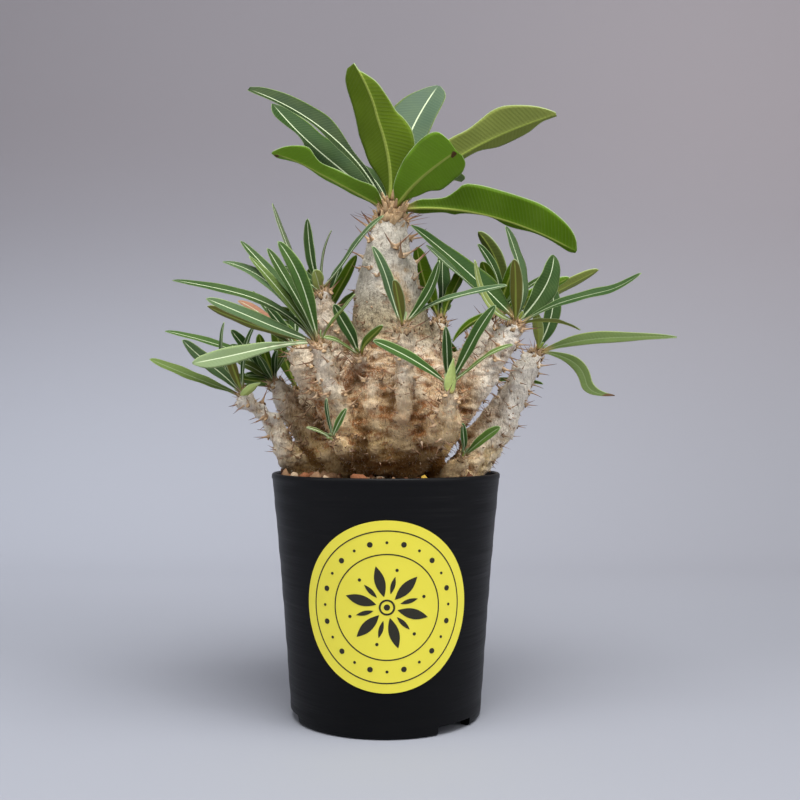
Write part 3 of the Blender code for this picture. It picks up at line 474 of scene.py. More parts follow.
# How far the midrib of an outlined leaf drifts to the right: share of the length and drift
RIB_DRIFTS = {
    ("rosette_top", 3): ((0, 0), (0.6, 0), (0.73, 1.4), (0.9, 3.0), (1, 3.6)),
}

# Leaves that spring from beside their crown: x, y and z from the usual root
ROOT_SHIFTS = {
    ("rosette_right_front", 4): (0.0, -3.4, -5.5),
    ("rosette_low_left", 5): (0.0, -1.0, -3.0),
}

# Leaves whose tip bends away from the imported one: x, y and z
TIP_SHIFTS = {
    ("rosette_right_mid", 6): (-1.5, 0.0, -9.0),
    ("rosette_right_far", 3): (-22.0, 0.0, -4.0),
}

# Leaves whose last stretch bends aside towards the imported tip: x, y and z of the bend
TIP_HOOKS = {
    ("rosette_right_far", 1): (16.0, 0.0, 12.0),
    ("rosette_right_mid", 4): (1.0, 0.0, 5.5),
    ("rosette_top", 2): (-2.5, 0.0, -2.0),
    ("rosette_left_front", 7): (-3.0, 0.0, 1.5),
}

# Leaves whose midrib is fainter than the rest, and how strongly it shows
FAINT_RIBS = {
    ("rosette_right_far", 0): 0.1,
    ("rosette_right_far", 1): 0.12,
    ("rosette_right_mid", 4): 0.4,
    ("rosette_right_front", 4): 0.2,
    ("rosette_low_left", 0): 0.3,
    ("rosette_low_left", 5): 0.2,
    ("sprout_right_leaves", 0): 0.4,
}

# Brown marks: share of the length, place across (left is negative), size in millimetres, strength
MARKS = {
    ("rosette_top", 2): ((0.96, -1.2, 1.4, 1.0),),
    ("rosette_top", 3): ((0.05, 0.0, 2.6, 1.0),),
    ("rosette_top", 5): ((0.975, 0.2, 1.3, 1.0), (0.955, 0.6, 1.0, 1.0), (0.93, 1.2, 0.8, 1.0)),
    ("rosette_top", 6): ((0.76, -6.6, 0.8, 0.6), (0.73, -8.0, 0.7, 0.5)),
    ("rosette_top", 7): ((0.12, -3.4, 1.2, 1.0),),
    ("rosette_left_front", 2): (
        (0.18, 0.0, 2.6, 0.5), (0.26, 0.0, 2.6, 0.5), (0.34, 0.0, 2.6, 0.5), (0.42, 0.0, 2.6, 0.45),
    ),
    ("rosette_right_far", 0): ((0.16, -0.6, 0.6, 0.7), (0.22, -1.2, 0.5, 0.7)),
    ("rosette_right_far", 1): ((0.98, 0.0, 3.0, 1.0),),
}

# Leaf tints: upper face and underside; the sheen, blue and pale upper faces carry a painted sheen,
# pale and bluish, on top of the leaf's own colour
TINTS = {
    "green": ((0.044, 0.104, 0.021), (0.118, 0.205, 0.022)),
    "night": ((0.005, 0.024, 0.003), (0.088, 0.160, 0.016)),
    "dusk": ((0.009, 0.042, 0.003), (0.088, 0.160, 0.016)),
    "umber": ((0.040, 0.066, 0.014), (0.080, 0.100, 0.022)),
    "deep": ((0.026, 0.068, 0.015), (0.088, 0.160, 0.016)),
    "sheen": ((0.064, 0.118, 0.052), (0.145, 0.205, 0.058)),
    "blue": ((0.068, 0.112, 0.074), (0.130, 0.185, 0.055)),
    "olive": ((0.080, 0.135, 0.026), (0.112, 0.176, 0.008)),
    "fresh": ((0.080, 0.160, 0.028), (0.155, 0.300, 0.018)),
    "khaki": ((0.085, 0.130, 0.032), (0.215, 0.250, 0.056)),
    "bottle": ((0.036, 0.085, 0.014), (0.078, 0.158, 0.003)),
    "pale": ((0.190, 0.258, 0.125), (0.220, 0.300, 0.105)),
    "yellow": ((0.125, 0.190, 0.045), (0.220, 0.285, 0.060)),
    "lime": ((0.340, 0.410, 0.120), (0.340, 0.410, 0.110)),
    "brown": ((0.090, 0.105, 0.028), (0.185, 0.175, 0.038)),
    "dry": ((0.115, 0.150, 0.080), (0.160, 0.175, 0.100)),
    "salmon": ((0.440, 0.200, 0.130), (0.420, 0.180, 0.115)),
    "bract": ((0.600, 0.720, 0.240), (0.600, 0.720, 0.240)),
}


class Shade:
    """A Principled material and short calls that add nodes to it."""

    def __init__(self, name):
        self.material = bpy.data.materials.new(name)
        self.material.use_nodes = True
        self.nodes = self.material.node_tree.nodes
        self.links = self.material.node_tree.links
        self.shader = self.nodes["Principled BSDF"]
        self.colour = None

    def feed(self, socket, value):
        if isinstance(value, bpy.types.NodeSocket):
            self.links.new(value, socket)
        elif hasattr(value, "__len__") and len(value) == 3 and socket.type == "RGBA":
            socket.default_value = (*value, 1.0)
        else:
            socket.default_value = value

    def add(self, kind, inputs=None, **settings):
        node = self.nodes.new("ShaderNode" + kind)
        for key, value in settings.items():
            setattr(node, key, value)
        for key, value in (inputs or {}).items():
            self.feed(node.inputs[key], value)
        return node

    def parts_of(self, vector):
        return tuple(self.add("SeparateXYZ", {0: vector}).outputs)

    def attribute(self, name):
        """The three parts of a vector attribute."""
        return self.parts_of(self.add("Attribute", attribute_name=name).outputs["Vector"])

    def tint(self, name):
        """A colour that the mesh carries."""
        return self.add("Attribute", attribute_name=name).outputs["Color"]

    def where(self):
        """The place on the object, in metres, as three values."""
        return self.parts_of(self.add("TexCoord").outputs["Object"])

    def noise(self, scale, detail=3.0, stretch=(1, 1, 1)):
        """Noise over the object, at this many cells a metre."""
        vector = self.add("TexCoord").outputs["Object"]
        placed = self.add("Mapping", {"Vector": vector, "Scale": stretch}).outputs[0]
        node = self.add("TexNoise", {"Vector": placed, "Scale": scale, "Detail": detail})
        return node.outputs["Fac"]

    def calc(self, operation, *values):
        return self.add("Math", dict(enumerate(values)), operation=operation).outputs[0]

    def part(self, factor, value):
        return self.calc("MULTIPLY", value, factor)

    def both(self, first, second):
        return self.calc("MULTIPLY", first, second)

    def line(self, value, slope, start):
        return self.calc("MULTIPLY_ADD", value, slope, start)

    def band(self, value, low, high):
        """0 at low and 1 at high, smooth between; low may be the larger."""
        start, end = (0.0, 1.0) if low < high else (1.0, 0.0)
        ends = {0: value, 1: min(low, high), 2: max(low, high), 3: start, 4: end}
        return self.add("MapRange", ends, interpolation_type="SMOOTHSTEP").outputs[0]

    def mix(self, share, first, second, how="MIX"):
        inputs = {0: share, 6: first, 7: second}
        return self.add("Mix", inputs, data_type="RGBA", blend_type=how).outputs[2]

    def paint(self, mask, tint, share=1.0, how="MIX"):
        """Lays a tint over the colour so far, this strongly where the mask is 1."""
        if share != 1.0:
            mask = self.part(share, mask)
        self.colour = self.mix(mask, self.colour, tint, how)

    def bump(self, height, distance, strength, onto=None):
        inputs = {"Height": height, "Distance": distance, "Strength": strength}
        if onto:
            inputs["Normal"] = onto
        return self.add("Bump", inputs).outputs[0]

    def finish(self, roughness, gloss=None, normal=None):
        looks = {"Base Color": self.colour, "Roughness": roughness}
        if gloss is not None:
            looks["Specular IOR Level"] = gloss
        if normal:
            looks["Normal"] = normal
        for key, value in looks.items():
            self.feed(self.shader.inputs[key], value)
        return self.material


def add_mesh(name, points, faces, material, smooth=True, attributes=None):
    """A mesh object from points in millimetres; attributes map a name to one vector a point."""
    mesh = bpy.data.meshes.new(name)
    mesh.from_pydata([Vector(p) * MM for p in points], [], faces)
    for key, values in (attributes or {}).items():
        layer = mesh.attributes.new(key, "FLOAT_VECTOR", "POINT")
        layer.data.foreach_set("vector", np.asarray(values, np.float32).ravel())
    if smooth:
        mesh.shade_smooth()
    mesh.materials.append(material)
    obj = bpy.data.objects.new(name, mesh)
    bpy.context.scene.collection.objects.link(obj)
    return obj


def apply_modifiers(obj):
    graph = bpy.context.evaluated_depsgraph_get()
    mesh = bpy.data.meshes.new_from_object(obj.evaluated_get(graph))
    obj.modifiers.clear()
    obj.data = mesh


def modify(obj, kind, **settings):
    """Adds a modifier, applied later."""
    modifier = obj.modifiers.new(kind.lower(), kind)
    for key, value in settings.items():
        setattr(modifier, key, value)


def face_outwards(obj):
    shape = bmesh.new()
    shape.from_mesh(obj.data)
    bmesh.ops.recalc_face_normals(shape, faces=shape.faces)
    shape.to_mesh(obj.data)
    shape.free()


def place(obj, slot, *nodes):
    """The piece rides on the part's one body and stands for the given nodes."""
    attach(obj, "root")
    if nodes:
        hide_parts(*nodes)


class Shape:
    """Points, faces and per-point vectors that grow piece by piece into one mesh."""

    def __init__(self):
        self.points, self.faces, self.vectors = [], [], {}

    def grow(self, points, faces, **vectors):
        start = len(self.points)
        self.points += points
        self.faces += [[start + corner for corner in face] for face in faces]
        for key, values in vectors.items():
            self.vectors.setdefault(key, []).extend(values)

    def build(self, name, material, smooth=True):
        made = add_mesh(name, self.points, self.faces, material, smooth, self.vectors)
        face_outwards(made)
        return made


def rings_to_faces(rings, count, cap_start=True, cap_end=True):
    """Faces of a tube whose points run ring by ring."""
    faces = []
    for i in range(rings - 1):
        for k in range(count):
            j = (k + 1) % count
            low, high = i * count, (i + 1) * count
            faces.append([low + k, low + j, high + j, high + k])
    if cap_start:
        faces.append(list(reversed(range(count))))
    if cap_end:
        faces.append(list(range((rings - 1) * count, rings * count)))
    return faces


def any_square_to(direction):
    helper = Vector((1, 0, 0)) if abs(direction.x) < 0.8 else Vector((0, 1, 0))
    return direction.cross(helper).normalized()


def turns(count):
    """The angles of this many even steps round a circle."""
    return [2 * math.pi * k / count for k in range(count)]


def spokes(axis):
    """A function that gives the direction square to an axis at a turn about it."""
    side = any_square_to(axis)
    across = axis.cross(side)
    return lambda turn: side * math.cos(turn) + across * math.sin(turn)


def small_ball(radius):
    """Corners and faces of a round grain."""
    ball = bmesh.new()
    bmesh.ops.create_icosphere(ball, subdivisions=2, radius=radius)
    corners = [v.co.copy() for v in ball.verts]
    faces = [[v.index for v in face.verts] for face in ball.faces]
    ball.free()
    return corners, faces


def points_tree(points):
    """A search tree that finds points by their place in the list."""
    tree = KDTree(len(points))
    for i, point in enumerate(points):
        tree.insert(point, i)
    tree.balance()
    return tree


def curve_through(stations, steps):
    """Catmull-Rom points through stations of any dimension, with this many steps between two."""
    rows = [Vector(s) for s in stations]
    rows = [2 * rows[0] - rows[1]] + rows + [2 * rows[-1] - rows[-2]]
    made = []
    for a, b, c, d in zip(rows, rows[1:], rows[2:], rows[3:]):
        for i in range(steps):
            t = i / steps
            made.append(
                0.5 * (2 * b + (c - a) * t + (2 * a - 5 * b + 4 * c - d) * t * t
                       + (3 * b - a - 3 * c + d) * t**3)
            )
    made.append(rows[-2])
    return made


def values_at(rows, share):
    """Values on a smooth curve through rows of a share and one or more values."""
    i = max(k for k, row in enumerate(rows[:-1]) if row[0] <= share)
    before, start, end = rows[max(i - 1, 0)], rows[i], rows[i + 1]
    after = rows[min(i + 2, len(rows) - 1)]
    span = end[0] - start[0]
    t = (share - start[0]) / span
    made = []
    for a, b, c, d in zip(before[1:], start[1:], end[1:], after[1:]):
        leave = (c - a) / (end[0] - before[0]) * span
        arrive = (d - b) / (after[0] - start[0]) * span
        made.append(
            (2 * t**3 - 3 * t**2 + 1) * b + (t**3 - 2 * t**2 + t) * leave
            + (3 * t**2 - 2 * t**3) * c + (t**3 - t**2) * arrive
        )
    return made


def tip_of(stem):
    """The end of a stem and the direction in which it grows there."""
    rows = STEMS[stem]
    end = Vector(rows[-1][:3])
    return end, (end - Vector(rows[-2][:3])).normalized()


# Pot


def wall_radius(height):
    share = height / POT_HEIGHT
    return FOOT_RADIUS + (RIM_RADIUS - FOOT_RADIUS) * (0.84 * share + 0.16 * share**3)


def revolve(profile, sides):
    """Points and faces of a turned body from (radius, height) rows round its section."""
    points, rings = [], []
    for radius, height in profile:
        if radius == 0:
            rings.append([len(points)] * sides)
            points.append((0, 0, height))
            continue
        rings.append(list(range(len(points), len(points) + sides)))
        points += [(radius * math.cos(a), radius * math.sin(a), height) for a in turns(sides)]
    faces = []
    for below, above in zip(rings, rings[1:] + rings[:1]):
        for i in range(sides):
            j = (i + 1) % sides
            corners = [below[i], below[j], above[j], above[i]]
            face = [c for k, c in enumerate(corners) if c not in corners[:k]]
            if len(face) > 2:
                faces.append(face)
    return points, faces


def arc(centre, radius, start, end, steps):
    """(radius, height) points on an arc, angles in degrees from the outward direction."""
    made = []
    for i in range(steps + 1):
        angle = math.radians(start + (end - start) * i / steps)
        made.append((centre[0] + radius * math.cos(angle), centre[1] + radius * math.sin(angle)))
    return made


def pot_profile():
    foot = wall_radius(FOOT_ROUNDING) - FOOT_ROUNDING
    outside = arc((foot, FOOT_ROUNDING), FOOT_ROUNDING, -90, 0, 6)
    heights = np.linspace(FOOT_ROUNDING + 3, POT_HEIGHT - RIM_BAND, 48)
    outside += [(wall_radius(h) + 0.16 * math.sin(h * 0.42) * math.sin(h * 0.13), h) for h in heights]
    outside.append((RIM_RADIUS, POT_HEIGHT - RIM_BAND + 0.8))
    lip = RIM_THICKNESS / 2
    outside += arc((RIM_RADIUS - lip, POT_HEIGHT - lip), lip, 0, 180, 10)
    inside = [(RIM_RADIUS - RIM_THICKNESS, POT_HEIGHT - RIM_BAND)]
    inside += [(wall_radius(h) - WALL, h) for h in (116, 94, 62, 30, FLOOR_TOP + 3)]
    inside += [(wall_radius(FLOOR_TOP) - WALL - 2.5, FLOOR_TOP), (0, FLOOR_TOP)]
    underside = [
        (0, 0), (PAD_RADIUS - 0.5, 0), (PAD_RADIUS, 0.5), (PAD_RADIUS + 0.4, FLOOR_UNDERSIDE),
        (FOOT_RADIUS - 6.5, FLOOR_UNDERSIDE), (FOOT_RADIUS - 5.5, 0),
    ]
    return outside + inside + underside


def notch_cutter(degrees, material):
    angle = math.radians(degrees)
    outward = Vector((math.sin(angle), -math.cos(angle), 0))
    along = Vector((-outward.y, outward.x, 0))
    corners = []
    for height in (-1.0, NOTCH_HEIGHT):
        for reach in (FOOT_RADIUS - 9, FOOT_RADIUS + 4):
            for side in (-NOTCH_WIDTH / 2, NOTCH_WIDTH / 2):
                corners.append(outward * reach + along * side + Vector((0, 0, height)))
    faces = [[0, 1, 3, 2], [4, 5, 7, 6], [0, 1, 5, 4], [2, 3, 7, 6], [0, 2, 6, 4], [1, 3, 7, 5]]
    cutter = add_mesh("notch_cutter", corners, faces, material, smooth=False)
    face_outwards(cutter)
    modify(cutter, "BEVEL", width=1.0 * MM, segments=3)
    apply_modifiers(cutter)
    return cutter


def drain_cutter(number, material):
    turn = 2 * math.pi * number / DRAIN_COUNT
    x, y = DRAIN_RING_RADIUS * math.cos(turn), DRAIN_RING_RADIUS * math.sin(turn)
    rings = [
        (x + DRAIN_RADIUS * math.cos(a), y + DRAIN_RADIUS * math.sin(a), z)
        for z in (2, 8)
        for a in np.linspace(0, 2 * math.pi, 24, endpoint=False)
    ]
    cutter = add_mesh("drain_cutter", rings, rings_to_faces(2, 24), material, smooth=False)
    face_outwards(cutter)
    return cutter


def cut_away(obj, cutters):
    group = bpy.data.collections.new("cutters")
    bpy.context.scene.collection.children.link(group)
    for cutter in cutters:
        group.objects.link(cutter)
    modify(
        obj, "BOOLEAN", operation="DIFFERENCE", operand_type="COLLECTION", collection=group,
        solver="EXACT",
    )
    apply_modifiers(obj)
    for cutter in cutters:
        bpy.data.objects.remove(cutter)
    bpy.data.collections.remove(group)


def plastic_material():
    shade = Shade("black_plastic")
    cloud = shade.noise(34.0, 4.0)
    rings = shade.noise(6.0, 4.0, stretch=(1, 1, 26))
    grain = shade.noise(2600.0, 2.0)
    dust = shade.band(shade.noise(420.0, 3.0), 0.68, 0.84)
    # painted light: the black plastic is darker at the foot and lighter towards the rim, where the
    # light from above falls
    up = shade.band(shade.where()[2], 0.0, 0.125)
    shade.colour = shade.mix(up, (0.0014, 0.0015, 0.0020), (0.0048, 0.0048, 0.0056))
    shade.paint(cloud, (0.0068, 0.0070, 0.0082), 0.35)
    shade.paint(dust, (0.16, 0.15, 0.14), 0.07)
    normal = shade.bump(grain, 0.00006, 0.5, shade.bump(rings, 0.0016, 0.8))
    return shade.finish(shade.line(cloud, 0.16, 0.33), 0.12, normal)


def make_pot():
    plastic = plastic_material()
    pot = add_mesh("pot_body", *revolve(pot_profile(), POT_SIDES), plastic)
    face_outwards(pot)
    cutters = [notch_cutter(angle, plastic) for angle in NOTCH_ANGLES]
    cut_away(pot, cutters + [drain_cutter(i, plastic) for i in range(DRAIN_COUNT)])
    pot.data.shade_smooth()
    pot.data.set_sharp_from_angle(angle=math.radians(38))
    place(pot, "black_plastic", "pot")


# Label


def on_wall(along, up, lift):
    """A point of the label, given by its distance from the label's centre round and up the wall."""
    height = LABEL_HEIGHT + up
    angle = (along + LABEL_SHIFT) / wall_radius(height)
    radius = wall_radius(height) + lift
    return (radius * math.sin(angle), -radius * math.cos(angle), height)


def label_material():
    shade = Shade("yellow_label")
    fibre = shade.noise(1800.0, 2.0)
    shade.colour = shade.mix(shade.noise(60.0, 3.0), (0.820, 0.725, 0.060), (0.870, 0.780, 0.080))
    normal = shade.bump(fibre, 0.00002, 0.4, shade.bump(shade.noise(45.0, 2.0), 0.0006, 0.4))
    return shade.finish(shade.line(fibre, 0.10, 0.34), 0.3, normal)


def ink_material():
    shade = Shade("dark_ink")
    shade.colour = shade.mix(shade.noise(1500.0, 2.0), (0.016, 0.015, 0.010), (0.034, 0.030, 0.018))
    return shade.finish(0.5, 0.3)


def make_label():
    sides, rows = 144, (0.15, 0.3, 0.45, 0.6, 0.72, 0.84, 0.93, 0.985, 1.0)
    points, faces = [], []
    for lift, edge in ((LABEL_LIFT + LABEL_THICKNESS, 0.05), (LABEL_LIFT, 0.0)):
        start = len(points)
        for share in rows:
            reach = LABEL_RADIUS * share - (edge if share == 1.0 else 0)
            points += [on_wall(reach * math.cos(a), reach * math.sin(a), lift) for a in turns(sides)]
        faces += [[start + c for c in f] for f in rings_to_faces(len(rows), sides, False, False)]
        faces += [[start + i, start + (i + 1) % sides, len(points)] for i in range(sides)]
        points.append(on_wall(0, 0, lift))
    edge_top = (len(rows) - 1) * sides
    edge_low = edge_top + len(rows) * sides + 1
    for i in range(sides):
        j = (i + 1) % sides
        faces.append([edge_top + i, edge_top + j, edge_low + j, edge_low + i])
    label = add_mesh("label_sheet", points, faces, label_material())
    face_outwards(label)
    label.data.set_sharp_from_angle(angle=math.radians(40))
    place(label, "yellow_label", "label")


def printed_strip(shape, centre_line, half_widths):
    """A flat printed stroke along a line of (along, up) points."""
    top = LABEL_LIFT + LABEL_THICKNESS + PRINT_THICKNESS
    points, count = [], len(centre_line)
    for i, (at, half) in enumerate(zip(centre_line, half_widths)):
        ahead = Vector(centre_line[min(i + 1, count - 1)]) - Vector(centre_line[max(i - 1, 0)])
        square = Vector((-ahead.y, ahead.x)).normalized() * max(half, 0.02)
        for lift in (top, top - PRINT_THICKNESS - 0.05):
            points.append(on_wall(at[0] + square.x, at[1] + square.y, lift))
            points.append(on_wall(at[0] - square.x, at[1] - square.y, lift))
    faces = [[0, 2, 3, 1]]
    for i in range(0, 4 * (count - 1), 4):
        faces += [
            [i, i + 1, i + 5, i + 4], [i + 2, i + 6, i + 7, i + 3],
            [i, i + 4, i + 6, i + 2], [i + 1, i + 3, i + 7, i + 5],
        ]
    last = 4 * (count - 1)
    faces.append([last, last + 1, last + 3, last + 2])
    shape.grow(points, faces)


def printed_ring(shape, radius, half):
    line = [
        (radius * math.cos(a), radius * math.sin(a)) for a in np.linspace(0, 2 * math.pi, 121)
    ]
    printed_strip(shape, line, [half] * len(line))


def printed_dot(shape, x, y, size):
    line = [(x + size * s, y) for s in (-1.0, -0.87, -0.5, 0.0, 0.5, 0.87, 1.0)]
    printed_strip(shape, line, [0.0, 0.5 * size, 0.87 * size, size, 0.87 * size, 0.5 * size, 0.0])


def printed_petal(shape, turn, start, length, width):
    """A lens-shaped petal that points away from the label's centre."""
    out = Vector((math.cos(turn), math.sin(turn)))
    shares = np.linspace(0, 1, 15)
    line = [tuple(out * (start + length * t)) for t in shares]
    printed_strip(shape, line, [0.5 * width * max(0.0, math.sin(math.pi * t)) ** 0.9 for t in shares])


def make_print():
    """A plain generic design: rings, a round of dots, and a petalled rosette in the middle."""
    shape = Shape()
    printed_ring(shape, 36.6, 0.3)
    printed_ring(shape, 25.4, 0.3)
    for i, turn in enumerate(turns(24)):
        printed_dot(shape, 31.0 * math.cos(turn), 31.0 * math.sin(turn), 1.35 if i % 2 else 0.7)
    for i in range(12):
        turn = 2 * math.pi * (i + 0.5) / 12
        if i % 2:
            printed_petal(shape, turn, 5.2, 15.2, 5.0)
        else:
            printed_petal(shape, turn, 6.6, 8.6, 2.2)
            printed_dot(shape, 18.4 * math.cos(turn), 18.4 * math.sin(turn), 0.8)
    printed_ring(shape, 3.4, 0.45)
    printed_dot(shape, 0, 0, 1.5)
    place(shape.build("label_print", ink_material(), smooth=False), "yellow_label")


# Soil


def soil_material():
    shade = Shade("potting_mix")
    grain = shade.noise(700.0, 5.0)
    clods = shade.band(shade.noise(190.0, 4.0), 0.35, 0.65)
    shade.colour = shade.mix(clods, (0.020, 0.012, 0.007), (0.085, 0.045, 0.022))
    shade.paint(grain, (0.14, 0.075, 0.035), 0.5)
    return shade.finish(0.95, normal=shade.bump(grain, 0.0006, 1.0))


def stone_material():
    shade = Shade("gravel")
    red, kind, _ = shade.attribute("stone")
    grain = shade.noise(900.0, 4.0)
    shade.colour = shade.mix(red, (0.045, 0.020, 0.011), (0.280, 0.098, 0.036))
    shade.paint(shade.band(kind, 0.68, 0.70), (0.300, 0.170, 0.088))
    shade.paint(shade.band(kind, 0.93, 0.94), (0.50, 0.37, 0.24))
    shade.paint(shade.band(kind, 0.990, 0.995), (0.52, 0.33, 0.04))
    shade.paint(grain, (0.10, 0.050, 0.026), 0.4)
    return shade.finish(0.8, 0.3, shade.bump(grain, 0.0004, 0.8))


def soil_room(height):
    return wall_radius(height) - WALL - 0.4


def make_soil(skin_tree):
    bottom = FLOOR_TOP + 0.35
    rim = soil_room(SOIL_TOP - 2) - 0.3
    profile = [(0, bottom), (soil_room(FLOOR_TOP) - 3.5, bottom)]
    profile.append((soil_room(FLOOR_TOP + 4), FLOOR_TOP + 4))
    profile += [(soil_room(h), h) for h in (42, 84, SOIL_TOP - 2)]
    profile += [(rim * (1 - i / 30), SOIL_TOP - 0.4) for i in range(31)]
    points, faces = revolve(profile, 96)
    points = [Vector(p) for p in points]
    for point in points:
        if point.z > SOIL_TOP - 1:
            point.z += 1.5 * noise.fractal(point * 0.16, 1.0, 2.0, 4)
    bed = add_mesh("soil_bed", points, faces, soil_material())
    face_outwards(bed)
    place(bed, "potting_mix", "soil")
    make_stones(skin_tree, rim)


def stone(draw, centre, size):
    """One grain: a lumpy, flattened ball."""
    corners, faces = small_ball(size)
    turn = Euler([draw.uniform(0, math.pi) for _ in range(3)]).to_matrix()
    stretch = Vector((draw.uniform(0.8, 1.25), draw.uniform(0.6, 0.95), draw.uniform(0.4, 0.75)))
    offset = Vector([draw.uniform(0, 50) for _ in range(3)])
    points = []
    for corner in corners:
        lump = 1 + 0.5 * noise.noise(corner * (1.4 / size) + offset)
        points.append(centre + turn @ (corner * lump * stretch))
    return points, faces


def make_stones(skin_tree, rim):
    draw = random.Random(SEED + 5)
    shape = Shape()
    for _ in range(STONE_COUNT):
        size = draw.uniform(0.9, 3.0) if draw.random() < 0.78 else draw.uniform(2.8, 4.2)
        reach = (rim - 0.7 * size) * math.sqrt(draw.uniform(0.1, 1.0))
        angle = draw.uniform(0, 2 * math.pi)
        heap = 2.0 * max(0.0, noise.noise(Vector((math.cos(angle), math.sin(angle), 0.0)) * 1.9))
        heap += 4.0 * max(0.0, -math.cos(angle)) ** 3
        height = SOIL_TOP - 0.9 + 0.3 * size + heap * draw.random()
        centre = Vector((reach * math.cos(angle), reach * math.sin(angle), height))
        nearest, normal, _, _ = skin_tree.find_nearest(centre * MM)
        if (centre * MM - nearest).dot(normal) < 0.2 * size * MM:
            continue
        points, faces = stone(draw, centre, size)
        looks = (draw.random(), 0.98 * draw.random(), 0.0)
        shape.grow(points, faces, stone=[looks] * len(points))
    for x, y, z, size, red, kind in CHIPS:
        points, faces = stone(draw, Vector((x, y, z)), size)
        shape.grow(points, faces, stone=[(red, kind, 0.0)] * len(points))
    place(shape.build("gravel", stone_material()), "potting_mix")


# Caudex


def tube(path):
    """A closed tube through (x, y, z, radius) rows, with a rounded end at its tip."""
    centres = [Vector(row[:3]) for row in path]
    radii = [row[3] + TIP_ALLOWANCE for row in path]
    for i in range(1, 6):
        radii[-i] *= 1 - 0.2 * (1 - (i - 1) / 5) ** 2
    last = (centres[-1] - centres[-2]).normalized()
    for out, share in ((0.5, 0.86), (0.87, 0.5)):
        centres.append(centres[len(path) - 1] + last * radii[len(path) - 1] * out)
        radii.append(radii[len(path) - 1] * share)
    points = []
    side = any_square_to((centres[1] - centres[0]).normalized())
    for i, (centre, radius) in enumerate(zip(centres, radii)):
        ahead = (centres[min(i + 1, len(centres) - 1)] - centres[max(i - 1, 0)]).normalized()
        side = (side - ahead * side.dot(ahead)).normalized()
        across = ahead.cross(side)
        for angle in turns(TUBE_SIDES):
            points.append(centre + (side * math.cos(angle) + across * math.sin(angle)) * radius)
    return points, rings_to_faces(len(centres), TUBE_SIDES)


def rough_skin(bark):
    """All the stems grown into one body, before its relief."""
    shape = Shape()
    for rows in STEMS.values():
        shape.grow(*tube(curve_through(rows, 6)))
    skin = shape.build("caudex_skin", bark)
    modify(skin, "REMESH", mode="VOXEL", voxel_size=VOXEL * MM)
    modify(skin, "SMOOTH", iterations=SKIN_SMOOTHING)
    apply_modifiers(skin)
    return skin


def tree_of(obj):
    shape = bmesh.new()
    shape.from_mesh(obj.data)
    tree = BVHTree.FromBMesh(shape)
    shape.free()
    return tree


def skin_spots(skin, count, draw):
    """Random points of the skin, in millimetres, each with its normal."""
    vertices = skin.data.vertices
    for i in draw.sample(range(len(vertices)), count):
        yield vertices[i].co / MM, vertices[i].normal


def stem_sites(stem, skin_tree, start_turn, start_due):
    """Places on a stem's skin, in a golden-angle spiral, as (point, outward, growth direction)."""
    path = curve_through(STEMS[stem], 8)
    sites, due, turn = [], start_due, start_turn
    for before, row in zip(path, path[1:]):
        centre, start = Vector(row[:3]), Vector(before[:3])
        ahead = (centre - start).normalized()
        out = spokes(ahead)
        area = SPINE_AREA if row[3] > SLENDER_STEM or stem == "trunk" else 0.5 * SPINE_AREA
        due += 2 * math.pi * row[3] * (centre - start).length / area
        while due >= 1:
            due -= 1
            turn += GOLDEN_ANGLE
            hit, normal, _, distance = skin_tree.ray_cast(centre * MM, out(turn))
            if hit and 0.5 * row[3] < distance / MM < 1.35 * row[3] + 1:
                sites.append((hit / MM, normal, ahead))
    return sites


def all_sites(skin_tree):
    """Every swelling: (point, outward, growth direction, spine length, youth)."""
    draw = random.Random(SEED)
    made = []
    for start_turn, start_due in ((0.0, 0.0), (0.5 * GOLDEN_ANGLE, 0.5)):
        for stem in STEMS:
            top = STEMS[stem][-1][2]
            for point, outward, ahead in stem_sites(stem, skin_tree, start_turn, start_due):
                if stem.startswith("sprout"):
                    continue
                young = max(0.0, 1 - (top - point.z) / YOUNG_REACH)
                low, high = SPINE_LENGTH
                if stem == "trunk" and young > 0.4:
                    low, high = TOP_SPINE_LENGTH
                length = (low + (high - low) * young) * draw.uniform(0.75, 1.15)
                if point.z > SOIL_TOP + SPINE_CLEAR_OF_SOIL:
                    made.append((point, outward, ahead, length, young))
    return made


def hollowness(mesh, rounds):
    """How far each vertex lies below its surroundings, in millimetres; more rounds look wider."""
    count = len(mesh.vertices)
    places, normals = np.empty(count * 3, np.float32), np.empty(count * 3, np.float32)
    mesh.vertices.foreach_get("co", places)
    mesh.vertex_normals.foreach_get("vector", normals)
    places, normals = places.reshape(-1, 3) / MM, normals.reshape(-1, 3)
    ends = np.empty(len(mesh.edges) * 2, np.int32)
    mesh.edges.foreach_get("vertices", ends)
    a, b = ends.reshape(-1, 2).T
    links = np.bincount(a, minlength=count) + np.bincount(b, minlength=count)

    def mean(values):
        sums = np.bincount(a, values[b], count) + np.bincount(b, values[a], count)
        return sums / np.maximum(links, 1)

    blurred = [places[:, k].astype(float) for k in range(3)]
    for _ in range(rounds):
        blurred = [mean(axis) for axis in blurred]
    hollow = sum((blurred[k] - places[:, k]) * normals[:, k] for k in range(3))
    return mean(mean(hollow))


def pick_folds(skin):
    """Places on the body where the bark hangs over a hollow: (point, half width, strength)."""
    draw = random.Random(SEED + 12)
    folds = []
    for point, _ in skin_spots(skin, FOLD_COUNT, draw):
        if FOLD_ZONE[0] < point.z < FOLD_ZONE[1] and math.hypot(point.x, point.y) < FOLD_SPREAD:
            folds.append((point, draw.uniform(3.0, 9.0), draw.uniform(0.3, 1.0)))
    return folds


def fold_relief(arm, width, strength):
    """How far a fold lifts the skin at a distance from it, and how strong the painted shadow below
    the fold is there.
    """
    sideways = math.hypot(arm.x, arm.y)
    level = (arm.z - 0.22 * sideways**2 / width) / 1.7
    share = strength * math.exp(-((sideways / width) ** 2))
    lift = FOLD_HEIGHT * share * level * math.exp(-level * level)
    return lift, share * math.exp(-(((level + 0.9) / 0.75) ** 2))


